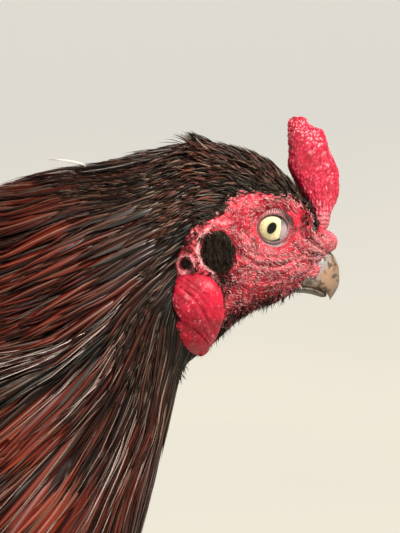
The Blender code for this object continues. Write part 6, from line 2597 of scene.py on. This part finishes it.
def build_coat(plumage: Plumage, legs: list[Leg]) -> None:
    """Makes all the plumage.

    Args:
        plumage: lays the feathers.
        legs: the legs, whose thighs are feathered.
    """
    surface = plumage.trunk.surface
    mahogany = PlumeFinish(
        "hackle feather, mahogany", roughness=0.34, shine=0.13, coat=0.06, coat_roughness=0.16,
        shaft_share=0.16, barbs=(0.036, 0.02), gap="#585858",
    ).make()
    brown = PlumeFinish(
        "crown feather, brown-black", roughness=0.42, shine=0.14, coat=0.03,
        tones=((0.0, "#090504"), (0.35, "#210e08"), (0.66, "#642618"), (0.88, "#864c3c"), (1.0, "#9a8470")),
        tip="#3a211a", shaft="#a59a8a", edge="#090706", dusk="#0a0b07",
    ).make()
    black = PlumeFinish(
        "body feather, green-black", roughness=0.42, metallic=0.20, shine=0.22, coat=0.08,
        coat_roughness=0.25, tones=((0.0, "#0b0e0c"), (0.6, "#121a16"), (1.0, "#1a2a22")), edge="#080908",
        tip="#131a17", dusk="#0a0b0a", shaft="#2a2a26", down="#0c0c0b",
    ).make()
    bay = PlumeFinish(
        "wing feather, dark bay", roughness=0.4, shine=0.2, coat=0.08,
        tones=((0.0, "#20120d"), (0.6, "#4c2619"), (1.0, "#6e3a22")), edge="#120f0d", edge_start=0.75,
        dusk="#0e1210", tip="#3a2218",
    ).make()
    # Painted highlight: a pale glossy finish for the stray barbs, which stand for glints on the hackle.
    pale = PlumeFinish(
        "loose barb, painted glint", roughness=0.3, coat=0.3,
        tones=((0.0, "#40261f"), (0.6, "#82604f"), (1.0, "#e2d8d2")), edge="#9a8076", dusk="#3c3833",
        tip="#e4dcd0", down="#3a2a24",
    ).make()
    pieces = [
        ("crown_feathers", plumage.crown(), brown, Slot.HACKLE),
        ("hackle_under_painted_shade", plumage.lay(plumage.hackle(4200, 8.7, 14.5, False), surface), mahogany, Slot.HACKLE),
        ("hackle_upper", plumage.lay(plumage.hackle(1500, 8.8, 11.4, True), surface), mahogany, Slot.HACKLE),
        ("hackle_lower", plumage.lay(plumage.lances(), surface), mahogany, Slot.HACKLE),
        ("hackle_strands", plumage.lay(plumage.strands(), surface), mahogany, Slot.HACKLE),
        ("hackle_glint_barbs", plumage.lay(plumage.glint_wisps(), surface), pale, Slot.HACKLE),
        ("breast_feathers", plumage.lay(plumage.body(4300, 14.0, 18.0), surface), black, Slot.BLACK),
        ("belly_feathers", plumage.lay(plumage.body(3600, 17.9, 22.4), surface), black, Slot.BLACK),
        ("saddle_feathers", plumage.lay(plumage.saddle(), surface), mahogany, Slot.HACKLE),
        ("tail_feathers", plumage.tail(), black, Slot.BLACK),
        ("thigh_feathers", joined([leg.plumes(plumage) for leg in legs]), black, Slot.BLACK),
    ]
    for name, shape, finish, slot in pieces:
        piece = shape.build(name, finish)
        if name == "tail_feathers":
            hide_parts("tail")
        settle(piece)
    for side, word in SIDES:
        wing = Wing(plumage, side)
        tiers = [wing.tier(tier) for tier in wing.tiers]
        flight = joined([wing.core(), *tiers]).build("wing_feathers_" + word, bay)
        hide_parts("wing_" + word)
        settle(flight)
        settle(wing.coverts().build("wing_coverts_" + word, mahogany))


def main() -> None:
    """Builds the whole bird and its studio, and reports each piece."""
    logging.basicConfig(level=logging.INFO, format="%(name)s: %(message)s")
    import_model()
    trunk = Trunk()
    plumage = Plumage(trunk)
    legs = [Leg(side, word) for side, word in SIDES]
    hide = SkinFinish("poultry skin, bare and blood-red", roughness=0.48, shine=0.30).make()
    skin = Skin(trunk)
    whole = skin.build(hide, [leg.sleeve() for leg in legs])
    settle(whole)
    settle(Papillae().build(whole, hide))
    build_head(skin, trunk, hide)
    # Painted glints: the palest tones, which only some strands get, light up the black hairs.
    bristle = PlumeFinish(
        "face bristle, black", roughness=0.36, shine=0.12,
        tones=((0.0, "#0a0807"), (0.68, "#1a1512"), (0.88, "#4e443c"), (1.0, "#a89a8e")), edge="#0d0b0a",
        dusk="#060505", tip="#2a2420", down="#080706",
    ).make()
    sheath = PlumeFinish(
        "quill sheath, dry skin", roughness=0.40, shine=0.25,
        tones=((0.0, "#e05a6e"), (0.40, "#f6a0a8"), (1.0, "#ffe6e2")), edge="#d8566a", edge_start=0.75,
        tip="#fff0ec", down="#c83e56", shaft="#fff0ea",
    ).make()
    bristles = Bristles(skin, plumage)
    for side, word in SIDES:
        settle(joined(bristles.side_shapes(side)).build("face_bristles_" + word, bristle))
        settle(bristles.sheaths(side).build("face_sheaths_" + word, sheath))
    scales = ScaleFinish("leg scute, horny", roughness=0.42, coat=0.1, coat_roughness=0.35).make()
    claw = HornFinish(
        "claw horn, grown", roughness=0.36, base="#6e5b40", middle="#8f7850", tip="#3c3228", blotches=0.25
    ).make()
    for leg in legs:
        for piece in leg.build(scales, claw):
            settle(piece)
    build_coat(plumage, legs)
    Studio().build(StageFinish("studio sweep, matt and glowing", roughness=0.9).make())


if __name__ == "__main__":
    main()
